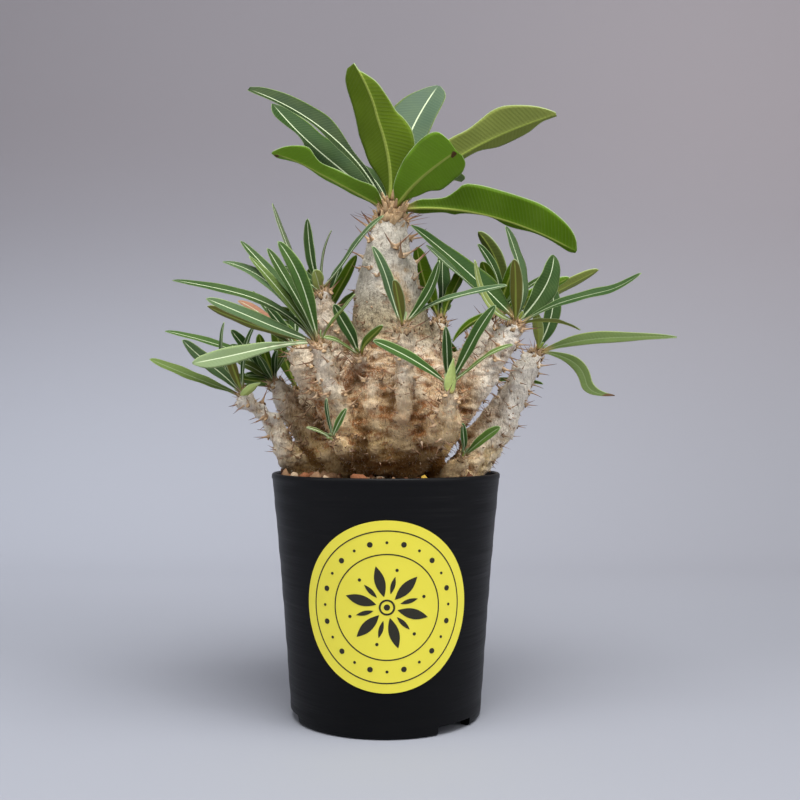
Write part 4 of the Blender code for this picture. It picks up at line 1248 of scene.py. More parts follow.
def shape_skin(skin, sites):
    """Adds the swellings and wrinkles, rounds the stem ends, and records what the bark needs."""
    tree = points_tree([site[0] for site in sites])
    folds = pick_folds(skin)
    fold_tree = points_tree([fold[0] for fold in folds])
    tips = [tip_of(stem) + (STEMS[stem][-1][3],) for stem in STEMS]
    mesh = skin.data
    looks, moved = [], []
    for vertex in mesh.vertices:
        point, normal = vertex.co / MM, vertex.normal
        site, nearest, distance = tree.find(point)
        young = sites[nearest][4]
        body = min(1.0, max(0.0, (BODY_TOP - point.z) / BODY_FADE))
        swell = math.exp(-((distance / (TUBERCLE_REACH + 0.6 * young)) ** 2))
        spread = 1 - 0.4 * body
        drawn = Vector((point.x * spread, point.y * spread, point.z * (0.6 + 0.6 * body))) * 0.2
        wrinkle = noise.fractal(drawn, 1.0, 2.0, 5)
        offset = TUBERCLE_HEIGHT * (0.7 + 0.5 * young) * swell + 0.8 * wrinkle - 0.35
        offset += (0.4 + 0.2 * body) * noise.noise(point * 0.7)
        offset += body * 2.9 * noise.noise(Vector((point.x, point.y, point.z * 0.3)) * 0.1)
        offset += body * 0.9 * noise.noise(point * 0.17)
        # stain gathers painted shadows below the folds and under each swelling, and the table's
        # painted shadows and highlights
        stain = 0.0
        for _, i, _ in fold_tree.find_range(point, 11.0):
            lift, below = fold_relief(point - folds[i][0], *folds[i][1:])
            offset += lift
            stain += below
        # a painted shadow just under each swelling
        arm = point - site
        foot = math.exp(-(((arm.z + 3.2) / 1.4) ** 2) - (arm.x**2 + arm.y**2) / 9)
        stain += foot * (0.9 if point.z < 215 else 0.3)
        for x, y, z, sideways, upwards, strength in PAINTED_SHADOWS_AND_HIGHLIGHTS:
            arm = point - Vector((x, y, z))
            fall = -(arm.x**2 + arm.y**2) / sideways**2 - (arm.z / upwards) ** 2
            stain += strength * math.exp(fall)
        placed = point + normal * offset
        for end, axis, radius in tips:
            arm = placed - end
            if arm.length < 3.2 * radius + 12:
                beyond = arm.dot(axis)
                if beyond > 0 and (arm - axis * beyond).length < radius + 2.5:
                    placed = placed - axis * beyond * 0.62
        moved.append(placed)
        looks.append((min(1.0, max(-1.0, stain)), 0.0, 0.0))
    for vertex, place_at in zip(mesh.vertices, moved):
        vertex.co = place_at * MM
    mesh.shade_smooth()
    mesh.update()
    looks = np.asarray(looks, np.float32)
    looks[:, 2] = np.clip(0.5 + 1.6 * hollowness(mesh, 6), 0, 1)
    looks[:, 1] = np.clip(0.5 + 0.30 * hollowness(mesh, 70), 0, 1)
    layer = mesh.attributes.new("bark", "FLOAT_VECTOR", "POINT")
    layer.data.foreach_set("vector", looks.ravel())


def bark_masks(shade):
    """Where the parts of the bark lie, and how it is mottled, as values from 0 to 1."""
    x, _, height = shade.where()
    aside = shade.calc("ABSOLUTE", x)
    # under: painted shadows where above 0, painted highlights where below; broad and hollow: how far
    # the skin lies in a wide or a small hollow
    under, broad, hollow = shade.attribute("bark")
    middle = shade.band(aside, 0.062, 0.034)
    return SimpleNamespace(
        x=x, height=height, under=under, broad=broad, hollow=hollow, middle=middle,
        trunk=shade.band(height, 0.196, 0.226),
        core=shade.band(aside, 0.032, 0.024),
        outer=shade.band(aside, 0.042, 0.066),
        swollen=shade.both(shade.band(height, 0.205, 0.170), middle),
        below_crown=shade.band(height, 0.215, 0.190),
        blotch=shade.noise(260.0, 5.0),
        knots=shade.noise(430.0, 4.0),
        fibres=shade.noise(1150.0, 4.0, stretch=(1, 1, 0.24)),
        speckle=shade.noise(2300.0, 4.0),
    )


def paint_bark_stains_and_painted_light(shade, at, rust_brown):
    """Brown and rusty patches, the brown low left side with painted shade, and the painted shadows
    and highlights that the bark attribute carries: crescents under the folds and spines, and pale
    places.
    """
    stain = shade.both(shade.band(shade.noise(36.0, 5.0), 0.51, 0.64), at.below_crown)
    shade.paint(shade.both(stain, shade.line(at.swollen, 0.25, 0.16)), (0.33, 0.175, 0.070))
    # the low left stems' own brown tone, darkened further as painted shade on their side away from
    # the light
    left_brown_and_shade = shade.both(shade.band(at.x, -0.026, -0.044), shade.band(at.height, 0.164, 0.148))
    shade.paint(left_brown_and_shade, (0.190, 0.130, 0.045), 0.35)
    fringe = shade.calc("SUBTRACT", shade.noise(75.0, 5.0, stretch=(0.8, 0.8, 1.5)), 0.5)
    rust = shade.band(shade.calc("ABSOLUTE", fringe), 0.042, 0.008)
    rust = shade.both(rust, shade.band(at.knots, 0.42, 0.56))
    rusted = shade.line(at.swollen, 0.5, shade.part(0.25, at.below_crown))
    shade.paint(shade.both(rust, rusted), (0.48, 0.190, 0.058))
    # painted highlights: the table's pale places, where the pale stems catch the light
    shade.paint(shade.band(at.under, -0.1, -1.0), at.bare, 0.7)
    # painted shadows in rust-brown: crescents under the folds and swellings and the table's dark
    # places, fainter on the trunk
    crescent = shade.both(shade.band(at.under, 0.0, 1.0), shade.band(at.knots, 0.28, 0.52))
    shade.paint(shade.both(crescent, shade.line(at.trunk, -0.6, 0.95)), rust_brown)


def paint_bark_grain_and_relief_shading(shade, at, pale):
    """Specks and dashes, with painted shade in the hollows and painted highlights on the ridges."""
    bright = shade.calc("MAXIMUM", at.trunk, at.outer)
    shade.paint(shade.band(at.speckle, 0.53, 0.66), pale, 0.45)
    dark_speckle = shade.both(shade.band(at.speckle, 0.46, 0.36), shade.line(bright, -0.3, 0.5))
    shade.paint(dark_speckle, (0.15, 0.092, 0.050))
    shade.paint(shade.band(at.fibres, 0.44, 0.34), (0.120, 0.088, 0.064), 0.6)
    shade.paint(shade.band(at.fibres, 0.55, 0.66), pale, 0.45)
    # painted shade darkens the hollows and painted highlights lighten the ridges: small ones from
    # hollow, the wide ones between the stems from broad
    shade.paint(shade.band(at.hollow, 0.58, 1.0), (0.150, 0.070, 0.024), 0.75)
    shade.paint(shade.band(at.hollow, 0.42, 0.08), pale, 0.35)
    shade.paint(shade.band(at.broad, 0.62, 1.0), (0.150, 0.078, 0.024), 0.66)
    shade.paint(shade.band(at.broad, 0.40, 0.10), pale, 0.25)


def paint_bark_shadows(shade, at):
    """Painted shade: the darker, greyer trunk under the leaves, the warmer, yellower shade at the
    foot, the dark gap between the roots and the dark shadow in the undercut.
    """
    # painted shade from the leaves above: the trunk's core is a little darker from about 190 mm up,
    # and much darker and more olive from about 190 to 230 mm
    trunk_shade = shade.both(shade.band(at.height, 0.188, 0.202), at.core)
    shade.paint(trunk_shade, (0.90, 0.88, 0.82), how="MULTIPLY")
    under_leaf_shade = shade.both(trunk_shade, shade.band(at.height, 0.230, 0.206))
    shade.paint(under_leaf_shade, (0.62, 0.605, 0.525), how="MULTIPLY")
    # painted shade colour: the middle of the body below about 178 mm is multiplied warmer and
    # yellower, as its shade looks
    warm_foot_shade = shade.both(shade.band(at.height, 0.178, 0.150), at.middle)
    shade.paint(warm_foot_shade, (1.0, 0.88, 0.66), 0.8, "MULTIPLY")
    # painted shadow in the gap between the roots on the left, low down near the soil
    root_gap_shadow = shade.both(shade.band(at.x, -0.012, -0.022), shade.band(at.x, -0.060, -0.050))
    root_gap_shadow = shade.both(root_gap_shadow, shade.band(at.height, 0.138, 0.129))
    shade.paint(root_gap_shadow, (0.100, 0.052, 0.012), 0.75)
    # painted shadow in the undercut beneath the swollen body, dark brown near the soil
    undercut = shade.band(shade.calc("ABSOLUTE", shade.calc("SUBTRACT", at.x, 0.005)), 0.034, 0.018)
    shaded = shade.both(shade.band(at.height, 0.146, 0.131), undercut)
    shade.paint(shaded, (0.125, 0.050, 0.006), 0.84)


def bark_material():
    shade = Shade("caudex_skin")
    at = bark_masks(shade)
    mottles = [shade.mix(at.blotch, *pair) for pair in BARK_MOTTLES.values()]
    silver, white, beige, tan, olive_foot_with_painted_light, rust_brown = mottles
    at.bare = shade.mix(at.outer, white, beige)
    silver = shade.mix(at.trunk, shade.mix(at.outer, silver, beige), white)
    pale = shade.mix(at.outer, (0.85, 0.73, 0.56), (0.92, 0.85, 0.75))
    pale = shade.mix(at.trunk, pale, (0.80, 0.76, 0.70))
    worn = shade.line(at.swollen, 0.17, shade.line(at.outer, -0.06, shade.noise(55.0, 5.0)))
    shade.colour = shade.mix(shade.band(worn, 0.47, 0.66), silver, tan)
    # the foot's own olive-cream tone, made lighter as painted light where the body above shades it
    shade.paint(shade.band(at.height, 0.158, 0.138), olive_foot_with_painted_light, 0.8)
    shade.paint(shade.band(shade.noise(48.0, 4.0), 0.54, 0.66), pale, 0.45)
    paint_bark_stains_and_painted_light(shade, at, rust_brown)
    paint_bark_grain_and_relief_shading(shade, at, pale)
    paint_bark_shadows(shade, at)
    ridges = shade.bump(at.fibres, 0.0007, 0.9, shade.bump(at.knots, 0.0016, 0.9))
    normal = shade.bump(at.speckle, 0.0004, 0.8, ridges)
    return shade.finish(shade.line(at.speckle, 0.2, 0.66), 0.12, normal)


def spine_material():
    shade = Shade("spine")
    along, tone, worn = shade.attribute("spine")
    shade.colour = shade.mix(tone, (0.46, 0.29, 0.16), (0.70, 0.53, 0.36))
    shade.paint(worn, (0.17, 0.095, 0.050), 0.75)
    shade.paint(shade.band(along, 0.12, 0.55), (0.33, 0.165, 0.095))
    shade.paint(shade.band(along, 0.55, 0.95), (0.060, 0.034, 0.026))
    return shade.finish(0.5, 0.25)


def scar_material():
    shade = Shade("leaf_scar")
    rim, young, _ = shade.attribute("scar")
    grain = shade.noise(1400.0, 3.0)
    fresh = shade.mix(grain, (0.46, 0.27, 0.12), (0.80, 0.60, 0.37))
    old = shade.mix(grain, (0.15, 0.085, 0.040), (0.36, 0.245, 0.145))
    shade.colour = shade.mix(shade.band(young, 0.1, 0.6), old, fresh)
    # darker where the mesh says: the pads' painted shadow, patches on the crowns and the stubs' feet
    shade.paint(rim, (0.080, 0.042, 0.020), 0.85)
    return shade.finish(0.75, 0.2, shade.bump(grain, 0.0003, 0.6))


def hair_material():
    shade = Shade("bark_hair")
    shade.colour = shade.mix(shade.noise(700.0, 2.0), (0.34, 0.24, 0.15), (0.80, 0.74, 0.64))
    return shade.finish(0.7, 0.2)


def grow_spine(shape, point, direction, bend, length, root, tone, worn=0.0):
    """One thorn: a broad-footed cone that curves a little, its root sunk in the skin."""
    out = spokes(direction)
    points, looks, sides = [], [], 6
    rows = ((-SPINE_SINK, 1.35), (0.0, 1.0), (0.1 * length, 0.64), (0.26 * length, 0.38),
            (0.52 * length, 0.24), (0.8 * length, 0.14), (length, 0.03))
    for reach, share in rows:
        along = max(reach, 0) / length
        centre = point + direction * reach + bend * (along**2) * length * 0.16
        points += [centre + out(angle) * root * share for angle in turns(sides)]
        looks += [(along, tone, worn)] * sides
    shape.grow(points, rings_to_faces(len(rows), sides), spine=looks)


def make_spines(sites, look):
    draw = random.Random(SEED + 3)
    shape = Shape()
    for point, outward, ahead, length, young in sites:
        around = ahead.cross(outward).normalized()
        if (point + outward * length).z < POT_HEIGHT + 1:
            continue
        for sign in (-1, 1):
            spread = around * sign * draw.uniform(0.45, 0.95)
            direction = (outward + spread + ahead * draw.uniform(-0.1, 0.6)).normalized()
            start = point + outward * 1.0 + around * sign * 1.2 + ahead * 0.5
            worn = 1.0 if young > 0.25 or draw.random() < 0.5 else draw.uniform(0.3, 0.7)
            root = (0.62 + (0.05 + 0.035 * young) * length) * (1 - 0.4 * max(0.0, 1 - 2.5 * young))
            root *= 1.0 if point.z > BARE_TRUNK else 0.8
            bend = ahead * draw.uniform(-0.5, 1.2) + around * sign * draw.uniform(-0.3, 0.5)
            aged = max(0.0, 1 - 2.5 * young)
            grow_spine(shape, start, direction, bend, length * worn, root, draw.random(), aged)
    place(shape.build("spines", look), "caudex_skin")


def make_teeth(skin, look):
    """Small worn thorns all over the lower stems and the swollen body."""
    draw = random.Random(SEED + 9)
    shape = Shape()
    for point, normal in skin_spots(skin, TOOTH_COUNT, draw):
        if not SOIL_TOP + 7 < point.z < TOOTH_TOP:
            continue
        drift = Vector([draw.uniform(-0.6, 0.6) for _ in range(3)])
        direction = (normal + drift).normalized()
        length = draw.uniform(1.2, 3.8)
        aged = draw.random()
        grow_spine(shape, point, direction, drift, length, 0.3 + 0.09 * length, draw.random(), aged)
    place(shape.build("small_spines", look), "caudex_skin")


def make_scars(sites, look):
    """The tan pad where each fallen leaf stood, between its two spines, with a painted shadow on its
    lower rim.
    """
    draw = random.Random(SEED + 4)
    shape = Shape()
    corners, faces = small_ball(1.0)
    for point, outward, ahead, _, young in sites:
        size = draw.uniform(0.45, 0.85) + (1.05 if point.z > BARE_TRUNK else 0.55) * young
        around = ahead.cross(outward).normalized()
        up = outward.cross(around)
        centre = point + outward * (TUBERCLE_HEIGHT * (0.6 + 0.6 * young)) - up * (0.5 + 0.6 * young)
        points, looks = [], []
        for corner in corners:
            lump = size * (1 + 0.2 * noise.noise(corner * 1.7 + point))
            dent = 0.25 * math.exp(-4 * (corner.x**2 + corner.y**2)) if corner.z > 0 else 0.0
            rise = 0.55 * corner.z - dent
            points.append(
                centre + around * corner.x * lump * 1.15 + up * corner.y * lump * 0.8 + outward * rise
            )
            # painted shadow on the pad's lower side and round its foot on the skin
            low = max(0.0, -corner.y - 0.35) * 2.2 + max(0.0, 0.35 - corner.z)
            looks.append((min(1.0, low), young, 0.0))
        shape.grow(points, faces, scar=looks)
    place(shape.build("leaf_scars", look), "caudex_skin")


def make_hairs(skin):
    """Short pale hairs and shreds of bark that stand off the skin."""
    draw = random.Random(SEED + 6)
    shape = Shape()
    for point, normal in skin_spots(skin, HAIR_COUNT, draw):
        if point.z < SOIL_TOP + 3:
            continue
        drift = Vector((draw.uniform(-0.6, 0.6), draw.uniform(-0.6, 0.6), draw.uniform(-1.3, 1.3)))
        direction = (normal + drift).normalized()
        side = any_square_to(direction) * HAIR_RADIUS
        across = direction.cross(side)
        root = point - normal * 0.1
        points = [root + side, root - side * 0.5 + across, root - side * 0.5 - across]
        points.append(point + direction * draw.uniform(0.6, 1.7))
        shape.grow(points, [[0, 2, 1], [0, 1, 3], [1, 2, 3], [2, 0, 3]])
    place(shape.build("bark_hairs", hair_material()), "caudex_skin")


def make_caudex(spine_look, scar_look):
    skin = rough_skin(bark_material())
    sites = all_sites(tree_of(skin))
    shape_skin(skin, sites)
    face_outwards(skin)
    skin_tree = tree_of(skin)
    make_spines(sites, spine_look)
    make_teeth(skin, spine_look)
    make_scars(sites, scar_look)
    make_hairs(skin)
    modify(skin, "DECIMATE", ratio=SKIN_KEPT)
    apply_modifiers(skin)
    place(skin, "caudex_skin", "caudex")
    return skin_tree


# Leaves


def outline(share, large):
    """The blade's half width along its length, as a share of its largest half width."""
    past = max(0.0, (share - WIDEST) / (1 - WIDEST))
    if share < WIDEST:
        return math.sin(0.5 * math.pi * share / WIDEST) ** (1.2 if large else 0.9)
    return math.sqrt(max(0.0, 1 - past ** (1.9 if large else 2.2)))


def upper_side(chord, axis, facing):
    """The direction in which a blade's upper face looks."""
    along = chord.normalized()
    natural = (axis - along * axis.dot(along)).normalized()
    if facing is None:
        return natural
    front = (FRONT - along * FRONT.dot(along)).normalized()
    edge = along.cross(front)
    if edge.dot(natural) < 0:
        edge.negate()
    return front * facing + edge * math.sqrt(1 - facing**2)


def nudged(tip, base, axis, turn, lift):
    """A leaf's tip swung about its stem's axis and lifted towards it."""
    arm = Matrix.Rotation(math.radians(turn), 3, axis) @ (tip - base)
    return base + Matrix.Rotation(math.radians(lift), 3, arm.cross(axis)) @ arm


def packed_tip(base, tip, axis, tree):
    """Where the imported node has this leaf's tip, or None if the leaf was left out there."""
    choices = [(abs(turn) + abs(lift), turn, lift) for turn in NUDGE_TURNS for lift in NUDGE_LIFTS]
    for _, turn, lift in sorted(choices):
        moved = nudged(tip, base, axis, turn, lift)
        if tree.find(moved)[2] < 0.1:
            return moved
    return None


class Leaf:
    """One leaf's midrib and blade, from a row of a rosette's table."""

    def __init__(self, key, base, tip, axis, row, radius, draw):
        self.width, self.facing, self.arch, self.bow, self.tint = row
        chord = tip - base
        self.base, self.tip, self.length = base, tip, chord.length
        rise = (axis - chord * axis.dot(chord) / chord.length_squared).normalized()
        leftwards = Vector((-chord.z, 0, chord.x)).normalized()
        self.bend = base + chord * 0.5 + (rise * self.arch + leftwards * self.bow) * chord.length
        self.above = upper_side(chord, axis, self.facing)
        out = chord - axis * chord.dot(axis)
        self.spread = out.normalized() * 0.5 * radius if out.length > 1 else Vector()
        self.large = self.width > LARGE_BLADE_WIDTH
        self.rows = OUTLINES.get(key)
        self.marks = MARKS.get(key, ())
        self.drifts = RIB_DRIFTS.get(key)
        self.rib = FAINT_RIBS.get(key, 1.0)
        self.hook = Vector(TIP_HOOKS.get(key, (0, 0, 0)))
        self.right = -1 if self.facing is not None and self.facing < 0 else 1
        self.wave = draw.uniform(0.5, 1.0) * (0.05 if self.large else 0.035) * self.width
        self.pace, self.phase = draw.uniform(2.4, 3.6), draw.uniform(0, 6.28)
        self.twist = draw.uniform(-0.12, 0.12) if self.rows else draw.uniform(-0.25, 0.25)
        self.sway = draw.uniform(-0.018, 0.018) * chord.length
        self.tone = draw.random()

    def drift(self, share):
        """How far the midrib lies to the picture's right of its plain curve."""
        return values_at(self.drifts, share)[0] if self.drifts else 0.0

    def halves(self, share):
        """How far the blade reaches to the picture's left and right of its midrib."""
        if self.rows:
            left, right = values_at(self.rows, share)
            drift, seen = self.drift(share), abs(self.facing)
            return max((left + drift) / seen, 0.3), max((right - drift) / seen, 0.3)
        half = 0.5 * self.width * outline(share, self.large)
        half = max(PETIOLE_WIDTH * (1 - share) * 0.4, half)
        return half, half

    def frame(self, share):
        """The midrib's point, and the directions across and out of the blade there."""
        rest = 1 - share
        centre = self.base * rest**2 + self.bend * 2 * share * rest + self.tip * share**2
        centre = centre + self.above * self.sway * math.sin(2 * math.pi * share)
        centre = centre + self.spread * rest**6
        late = max(0.0, (share - HOOK_START) / (1 - HOOK_START))
        centre = centre + self.hook * (late**2 - share**3)
        ahead = ((self.bend - self.base) * rest + (self.tip - self.bend) * share).normalized()
        across = ahead.cross(self.above).normalized()
        across = Matrix.Rotation(self.twist * math.sin(math.pi * share), 3, ahead) @ across
        centre = centre + across * self.right * self.drift(share)
        return centre, across, across.cross(ahead)

    def lift(self, share, u, upper, reach, mean):
        """How far the skin stands off the blade's middle plane, at one point of its section."""
        edge = abs(u) > 0.999
        stem_like = max(0.0, 1 - share / 0.16)
        rise = FOLD * mean * (math.sqrt(u * u + 0.015) - 0.12)
        turn = 2 * math.pi * self.pace * share + self.phase + 1.3 * (u > 0)
        ripple = self.wave * u * u * math.sin(turn)
        rise += ripple * min(1.0, 4 * share * (1 - share) + 0.1)
        thick = BLADE_THICKNESS * (1 - 0.62 * abs(u) ** 3) + 0.8 * stem_like * (1 - u * u)
        if upper and not edge:
            groove = 0.3 * math.exp(-((reach / 0.55) ** 2)) * (1 - stem_like)
            rise += 0.42 * thick - groove * (1 - share)
        elif not edge:
            ridge = (1.15 if self.large else 0.6) * (1 - 0.8 * share)
            rise -= 0.58 * thick + ridge * math.exp(-((reach / (0.5 + 0.35 * ridge)) ** 2))
        return rise

    def brown_at(self, share, side):
        """How brown a mark makes the blade at one point."""
        return min(1.0, sum(
            strength * math.exp(-(((share - at) * self.length) ** 2 + (side - across) ** 2) / size**2)
            for at, across, size, strength in self.marks
        ))

    def ring(self, share, spans):
        """Points round the blade's section, with what the material needs at each."""
        centre, across, up = self.frame(share)
        halves = self.halves(share)
        points, leaf, vein, mark = [], [], [], []
        for k in range(4 * spans):
            upper = k < 2 * spans
            v = -1 + k / spans if upper else 1 - (k - 2 * spans) / spans
            u = math.copysign(abs(v) ** 1.3, v)
            side = u * self.right
            half = halves[1] if side > 0 else halves[0]
            reach = abs(u) * half
            rise = self.lift(share, u, upper, reach, 0.5 * (halves[0] + halves[1]))
            points.append(centre + across * u * half + up * rise)
            leaf.append((reach, share, 1.0 if upper and abs(u) < 0.999 else 0.0))
            vein.append(((share * self.length + reach * 0.5) / VEIN_SPACING, self.tone, self.width))
            mark.append((self.brown_at(share, side * half), half - reach, self.rib))
        return points, leaf, vein, mark

    def grow(self, shape):
        steps, spans = (44, 9) if self.large else (26, 5)
        points, leaf, vein, mark = [], [], [], []
        for i in range(steps):
            share = min(1 - (1 - i / (steps - 1)) ** 1.2, 0.9995)
            made = self.ring(share, spans)
            for whole, part in zip((points, leaf, vein, mark), made):
                whole += part
        upper, under = TINTS[self.tint]
        count = len(points)
        shape.grow(
            points, rings_to_faces(steps, 4 * spans), leaf=leaf, vein=vein, mark=mark,
            upper_tint=[upper] * count, under_tint=[under] * count,
        )


def leaf_rib(shade, reach, share, width, above):
    """How strongly the midrib shows at a point of the blade."""
    half = shade.line(width, 0.013, 0.18)
    half = shade.calc("ADD", half, shade.part(0.22, shade.calc("SUBTRACT", 1.0, above)))
    half = shade.both(half, shade.line(share, -0.65, 1.25))
    inside = shade.calc("DIVIDE", reach, half)
    return shade.both(shade.band(inside, 1.35, 0.75), shade.band(share, 1.0, 0.9))


def leaf_material():
    shade = Shade("leaf")
    reach, share, upper = shade.attribute("leaf")
    vein_place, tone, width = shade.attribute("vein")
    brown, from_edge, rib_strength = shade.attribute("mark")
    above = shade.band(upper, 0.35, 0.65)
    shade.colour = shade.mix(above, shade.tint("under_tint"), shade.tint("upper_tint"))
    cloud = shade.noise(70.0, 4.0)
    mottle = shade.noise(800.0, 3.0)
    shade.paint(shade.band(cloud, 0.35, 0.75), (0.30, 0.36, 0.10), 0.07)
    shade.paint(shade.band(share, 0.55, 0.05), (0.02, 0.045, 0.004), 0.28)
    shade.paint(tone, (0.18, 0.25, 0.05), 0.08)
    wave = shade.calc("SINE", shade.part(2 * math.pi, vein_place))
    lines = shade.both(shade.band(wave, 0.80, 1.0), shade.band(width, 6.0, 16.0))
    shade.paint(lines, (0.30, 0.40, 0.18), 0.09)
    shade.paint(mottle, (0.02, 0.04, 0.008), 0.16)
    rib = shade.both(leaf_rib(shade, reach, share, width, above), rib_strength)
    shade.paint(rib, shade.mix(above, (0.330, 0.400, 0.080), (0.600, 0.680, 0.440)), 0.9)
    shade.paint(shade.band(from_edge, 0.52, 0.10), (0.44, 0.54, 0.30), 0.6)
    shade.paint(shade.band(share, 0.14, 0.02), (0.34, 0.21, 0.09), 0.7)
    shade.paint(shade.band(brown, 0.35, 0.65), (0.095, 0.050, 0.020))
    normal = shade.bump(mottle, 0.0001, 0.3, shade.bump(wave, 0.00012, 0.2))
    return shade.finish(shade.line(cloud, 0.16, 0.46), shade.line(above, 0.06, 0.06), normal)


def grow_crown(shape, end, axis, radius):
    """A low lumpy dome on a stem's end, from which the leaves spring."""
    out = spokes(axis)
    points, looks, count = [], [], 24
    rows = (
        (-0.7, 0.9), (-0.2, 1.0), (0.25, 0.86), (0.5, 0.66), (0.8, 0.5), (1.1, 0.4), (1.3, 0.3),
        (1.4, 0.1),
    )
    for reach, share in rows:
        for angle in turns(count):
            spot = Vector((math.cos(angle), math.sin(angle), reach)) * 3.4 + end
            lump = 1 + 0.08 * math.sin(5 * angle + 3 * reach) + 0.3 * noise.noise(spot)
            points.append(end + axis * reach * radius + out(angle) * radius * share * lump)
            looks.append((min(1.0, max(0.0, 0.2 - 2.6 * noise.noise(spot))), 0.8, 0.0))
    shape.grow(points, rings_to_faces(len(rows), count), scar=looks)


def grow_stubs(shape, end, axis, radius, stem_radius, draw):
    """The flat, upright feet of leaves that have fallen, crowded on the crown."""
    outward, sides = spokes(axis), 8
    for i in range(round(9 * radius)):
        out = outward(i * GOLDEN_ANGLE)
        height = draw.uniform(-1.0, 1.1) * radius
        reach = stem_radius * 0.95 if height < 0 else radius * (1 - 0.55 * (height / radius))
        start = end + axis * height + out * reach
        direction = (out * draw.uniform(0.25, 0.9) + axis).normalized()
        right = direction.cross(out).normalized()
        up = direction.cross(right)
        length = draw.uniform(0.3, 0.62) * radius + 0.6
        width = draw.uniform(0.06, 0.13) * radius + 0.25
        young = draw.uniform(0.3, 1.0)
        points, looks = [], []
        for reach, share in ((-0.5, 1.3), (0.2, 1.2), (0.6, 0.9), (0.9, 0.65), (1.0, 0.4)):
            for angle in turns(sides):
                spot = (right * math.cos(angle) + up * math.sin(angle) * 0.5) * width * share
                points.append(start + direction * length * reach + spot)
                looks.append((max(0.0, 0.55 - 2.0 * reach), young, 0.0))
        shape.grow(points, rings_to_faces(5, sides), scar=looks)


def grow_crown_spines(shape, end, axis, radius, draw):
    """Thin spines that radiate from a crown."""
    outward = spokes(axis)
    for i in range(round(2.6 * radius)):
        out = outward(i * GOLDEN_ANGLE + draw.uniform(-0.3, 0.3))
        start = end + axis * draw.uniform(-0.6, 0.4) * radius + out * radius * 0.85
        direction = (out + axis * draw.uniform(-0.15, 0.75)).normalized()
        length = draw.uniform(1.2, 1.9) * radius + 1.0
        root = 0.36 + 0.025 * radius
        bend = axis * draw.uniform(-0.4, 0.4)
        grow_spine(shape, start, direction, bend, length, root, draw.random())


def ruled_leaves(stem, count, lengths, widths, draw):
    """Leaves set out round a stem by the golden angle, the younger ones more upright."""
    end, axis = tip_of(stem)
    outward = spokes(axis)
    made = []
    for i in range(count):
        rise = math.radians(12 + 52 * i / count + draw.uniform(-6, 6))
        ahead = outward(i * GOLDEN_ANGLE) * math.cos(rise) + axis * math.sin(rise)
        tip = end + ahead * draw.uniform(*lengths)
        made.append((*tip, draw.uniform(*widths), None, draw.uniform(0.04, 0.16), 0, "deep"))
    return made


def grow_young_leaves(shape, end, axis, radius, draw):
    """A few short, pale leaves in the middle of the crown."""
    outward = spokes(axis)
    for i in range(3):
        out = outward(i * GOLDEN_ANGLE + draw.uniform(0, 1))
        base = end + axis * 0.7 * radius + out * 0.15 * radius
        tip = base + (axis + out * draw.uniform(0.15, 0.5)) * (draw.uniform(0.9, 1.4) * radius + 1.5)
        row = (0.4 * radius + 0.5, None, 0.05, 0, draw.choice(("fresh", "yellow", "green")))
        Leaf(None, base, tip, axis, row, 0.0, draw).grow(shape)


def grow_stipules(shape, base, tip, axis, radius, draw):
    """The pair of young spines that stands beside a leaf's foot."""
    out = tip - base
    out = (out - axis * out.dot(axis)).normalized()
    around = axis.cross(out)
    foot = base - axis * 0.25 * radius + out * 0.75 * radius
    for sign in (-1, 1):
        start = foot + around * sign * (0.3 * radius + 0.5)
        lean = draw.uniform(0.2, 1.3)
        direction = (axis + out * lean + around * sign * draw.uniform(0.1, 0.7)).normalized()
        length = draw.uniform(0.9, 1.5) * radius + 1.5
        bend = axis * draw.uniform(-0.5, 0.6)
        grow_spine(shape, start, direction, bend, length, 0.34 + 0.05 * radius, 1.0)


def make_rosette(name, stem, radius, leaves, look, crowns, stipules, draw):
    tree = points_tree([vertex.co / MM for vertex in bpy.data.objects[name].data.vertices])
    end, axis = tip_of(stem)
    blades = Shape()
    swell = radius * (TOP_CROWN_SWELL if stem == "trunk" else 1.0)
    grow_crown(crowns, end, axis, swell)
    crown_draw = random.Random(SEED + len(name))
    grow_stubs(crowns, end, axis, swell, STEMS[stem][-1][3], crown_draw)
    grow_crown_spines(stipules, end, axis, swell, crown_draw)
    for i, leaf in enumerate(leaves):
        base = end + axis * (ROOT_LIFT + 0.35 * radius * i / len(leaves))
        shift = Vector(ROOT_SHIFTS.get((name, i), (0, 0, 0)))
        tip = packed_tip(base, Vector(leaf[:3]), axis, tree)
        if tip:
            tip = tip + Vector(TIP_SHIFTS.get((name, i), (0, 0, 0)))
            Leaf((name, i), base + shift, tip, axis, leaf[3:], radius, draw).grow(blades)
            grow_stipules(stipules, base, tip, axis, radius, draw)
    for leaf in LESSER_LEAVES.get(name, ()):
        base = end + axis * ROOT_LIFT
        Leaf(None, base, Vector(leaf[:3]), axis, leaf[3:], radius, draw).grow(blades)
    grow_young_leaves(blades, end, axis, radius, draw)
    place(blades.build(name + "_leaves", look), "leaf_green", name)


def make_rosettes(spine_look, scar_look):
    rule = random.Random(SEED + 2)
    table = dict(ROSETTES)
    for name, (stem, radius, count, lengths, widths) in RULED_ROSETTES.items():
        table[name] = (stem, radius, ruled_leaves(stem, count, lengths, widths, rule))
    draw = random.Random(SEED + 7)
    look, crowns, stipules = leaf_material(), Shape(), Shape()
    for name, (stem, radius, leaves) in table.items():
        make_rosette(name, stem, radius, leaves, look, crowns, stipules, draw)
    place(crowns.build("crowns", scar_look), "caudex_skin")
    place(stipules.build("stipules", spine_look), "caudex_skin")


# Studio


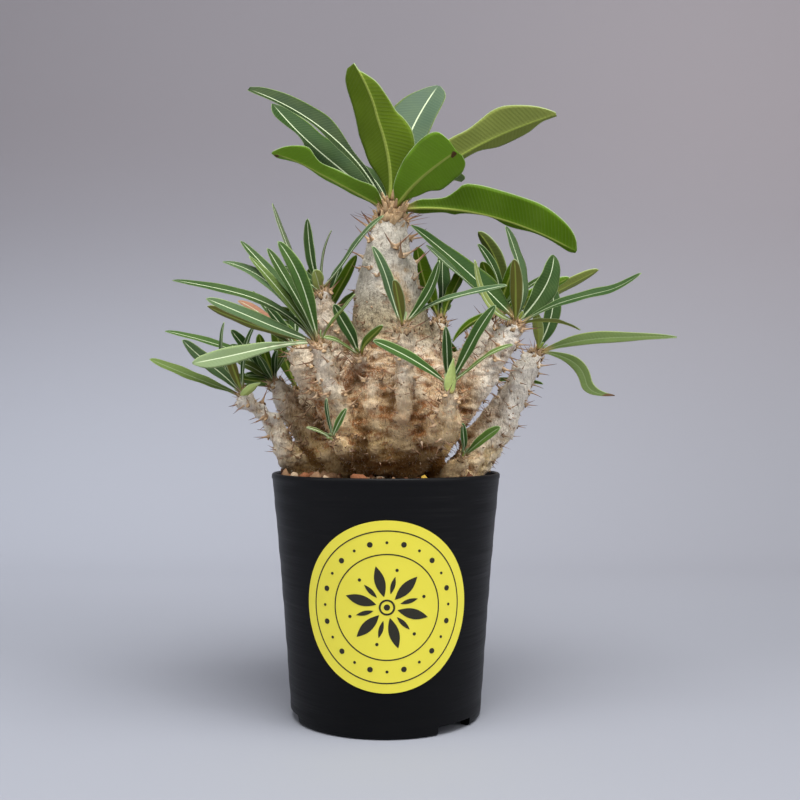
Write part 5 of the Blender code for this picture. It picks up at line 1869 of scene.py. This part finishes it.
def backdrop_material():
    shade = Shade("backdrop")
    x, y, height = shade.where()
    # painted light: the floor is lighter towards the back and on the left, and the wall darkens
    # towards its top, lighter on the right there
    sideways = shade.band(x, -0.6, 0.6)
    near = shade.mix(sideways, (0.345, 0.360, 0.410), (0.296, 0.303, 0.337))
    far = shade.mix(sideways, (0.475, 0.497, 0.563), (0.370, 0.375, 0.415))
    high = shade.mix(shade.band(x, -0.1, 0.7), (0.278, 0.259, 0.280), (0.362, 0.328, 0.347))
    shade.colour = shade.mix(shade.band(y, 0.12, 0.60), near, far)
    shade.paint(shade.band(height, 0.0, 0.62), high)
    return shade.finish(0.85)


def make_backdrop():
    """A pale floor that sweeps up into a wall far behind the plant."""
    profile = [(BACKDROP_FRONT, 0.0), (BACKDROP_BACK, 0.0)]
    for i in range(1, SWEEP_STEPS + 1):
        angle = math.radians(90 * i / SWEEP_STEPS)
        out, up = SWEEP_RADIUS * math.sin(angle), SWEEP_RADIUS * (1 - math.cos(angle))
        profile.append((BACKDROP_BACK + out, up))
    profile.append((BACKDROP_BACK + SWEEP_RADIUS, BACKDROP_HEIGHT))
    points = [(x, y, z) for y, z in profile for x in (-BACKDROP_SIDE, BACKDROP_SIDE)]
    faces = [[2 * i, 2 * i + 1, 2 * i + 3, 2 * i + 2] for i in range(len(profile) - 1)]
    sweep = add_mesh("backdrop", points, faces, backdrop_material())


def add_area_light(name, place_at, size, energy):
    light = bpy.data.lights.new(name, "AREA")
    light.shape = "RECTANGLE"
    light.size, light.size_y = size
    light.energy = energy
    obj = bpy.data.objects.new(name, light)
    obj.location = Vector(place_at)
    obj.rotation_euler = (Vector(LIGHT_TARGET) - Vector(place_at)).to_track_quat("-Z", "Y").to_euler()
    bpy.context.scene.collection.objects.link(obj)


def light_studio():
    for row in LIGHTS:
        add_area_light(*row)
    world = bpy.data.worlds.new("studio")
    world.use_nodes = True
    background = world.node_tree.nodes["Background"]
    background.inputs[0].default_value = WORLD_TINT
    background.inputs[1].default_value = WORLD_STRENGTH
    bpy.context.scene.world = world
    bpy.context.scene.view_settings.view_transform = "Standard"


def make_camera():
    camera = bpy.data.objects.new("camera", bpy.data.cameras.new("camera"))
    camera.data.sensor_width = SENSOR_WIDTH
    camera.data.lens = CAMERA_LENS
    camera.location = Vector(CAMERA_PLACE) * MM
    camera.rotation_euler = Euler((math.radians(90 + CAMERA_PITCH), 0, 0))
    bpy.context.scene.collection.objects.link(camera)
    bpy.context.scene.camera = camera


def main():
    for obj in list(bpy.data.objects):
        bpy.data.objects.remove(obj)
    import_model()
    make_camera()
    make_pot()
    make_label()
    make_print()
    spine_look, scar_look = spine_material(), scar_material()
    skin_tree = make_caudex(spine_look, scar_look)
    make_soil(skin_tree)
    make_rosettes(spine_look, scar_look)
    make_backdrop()
    light_studio()


main()
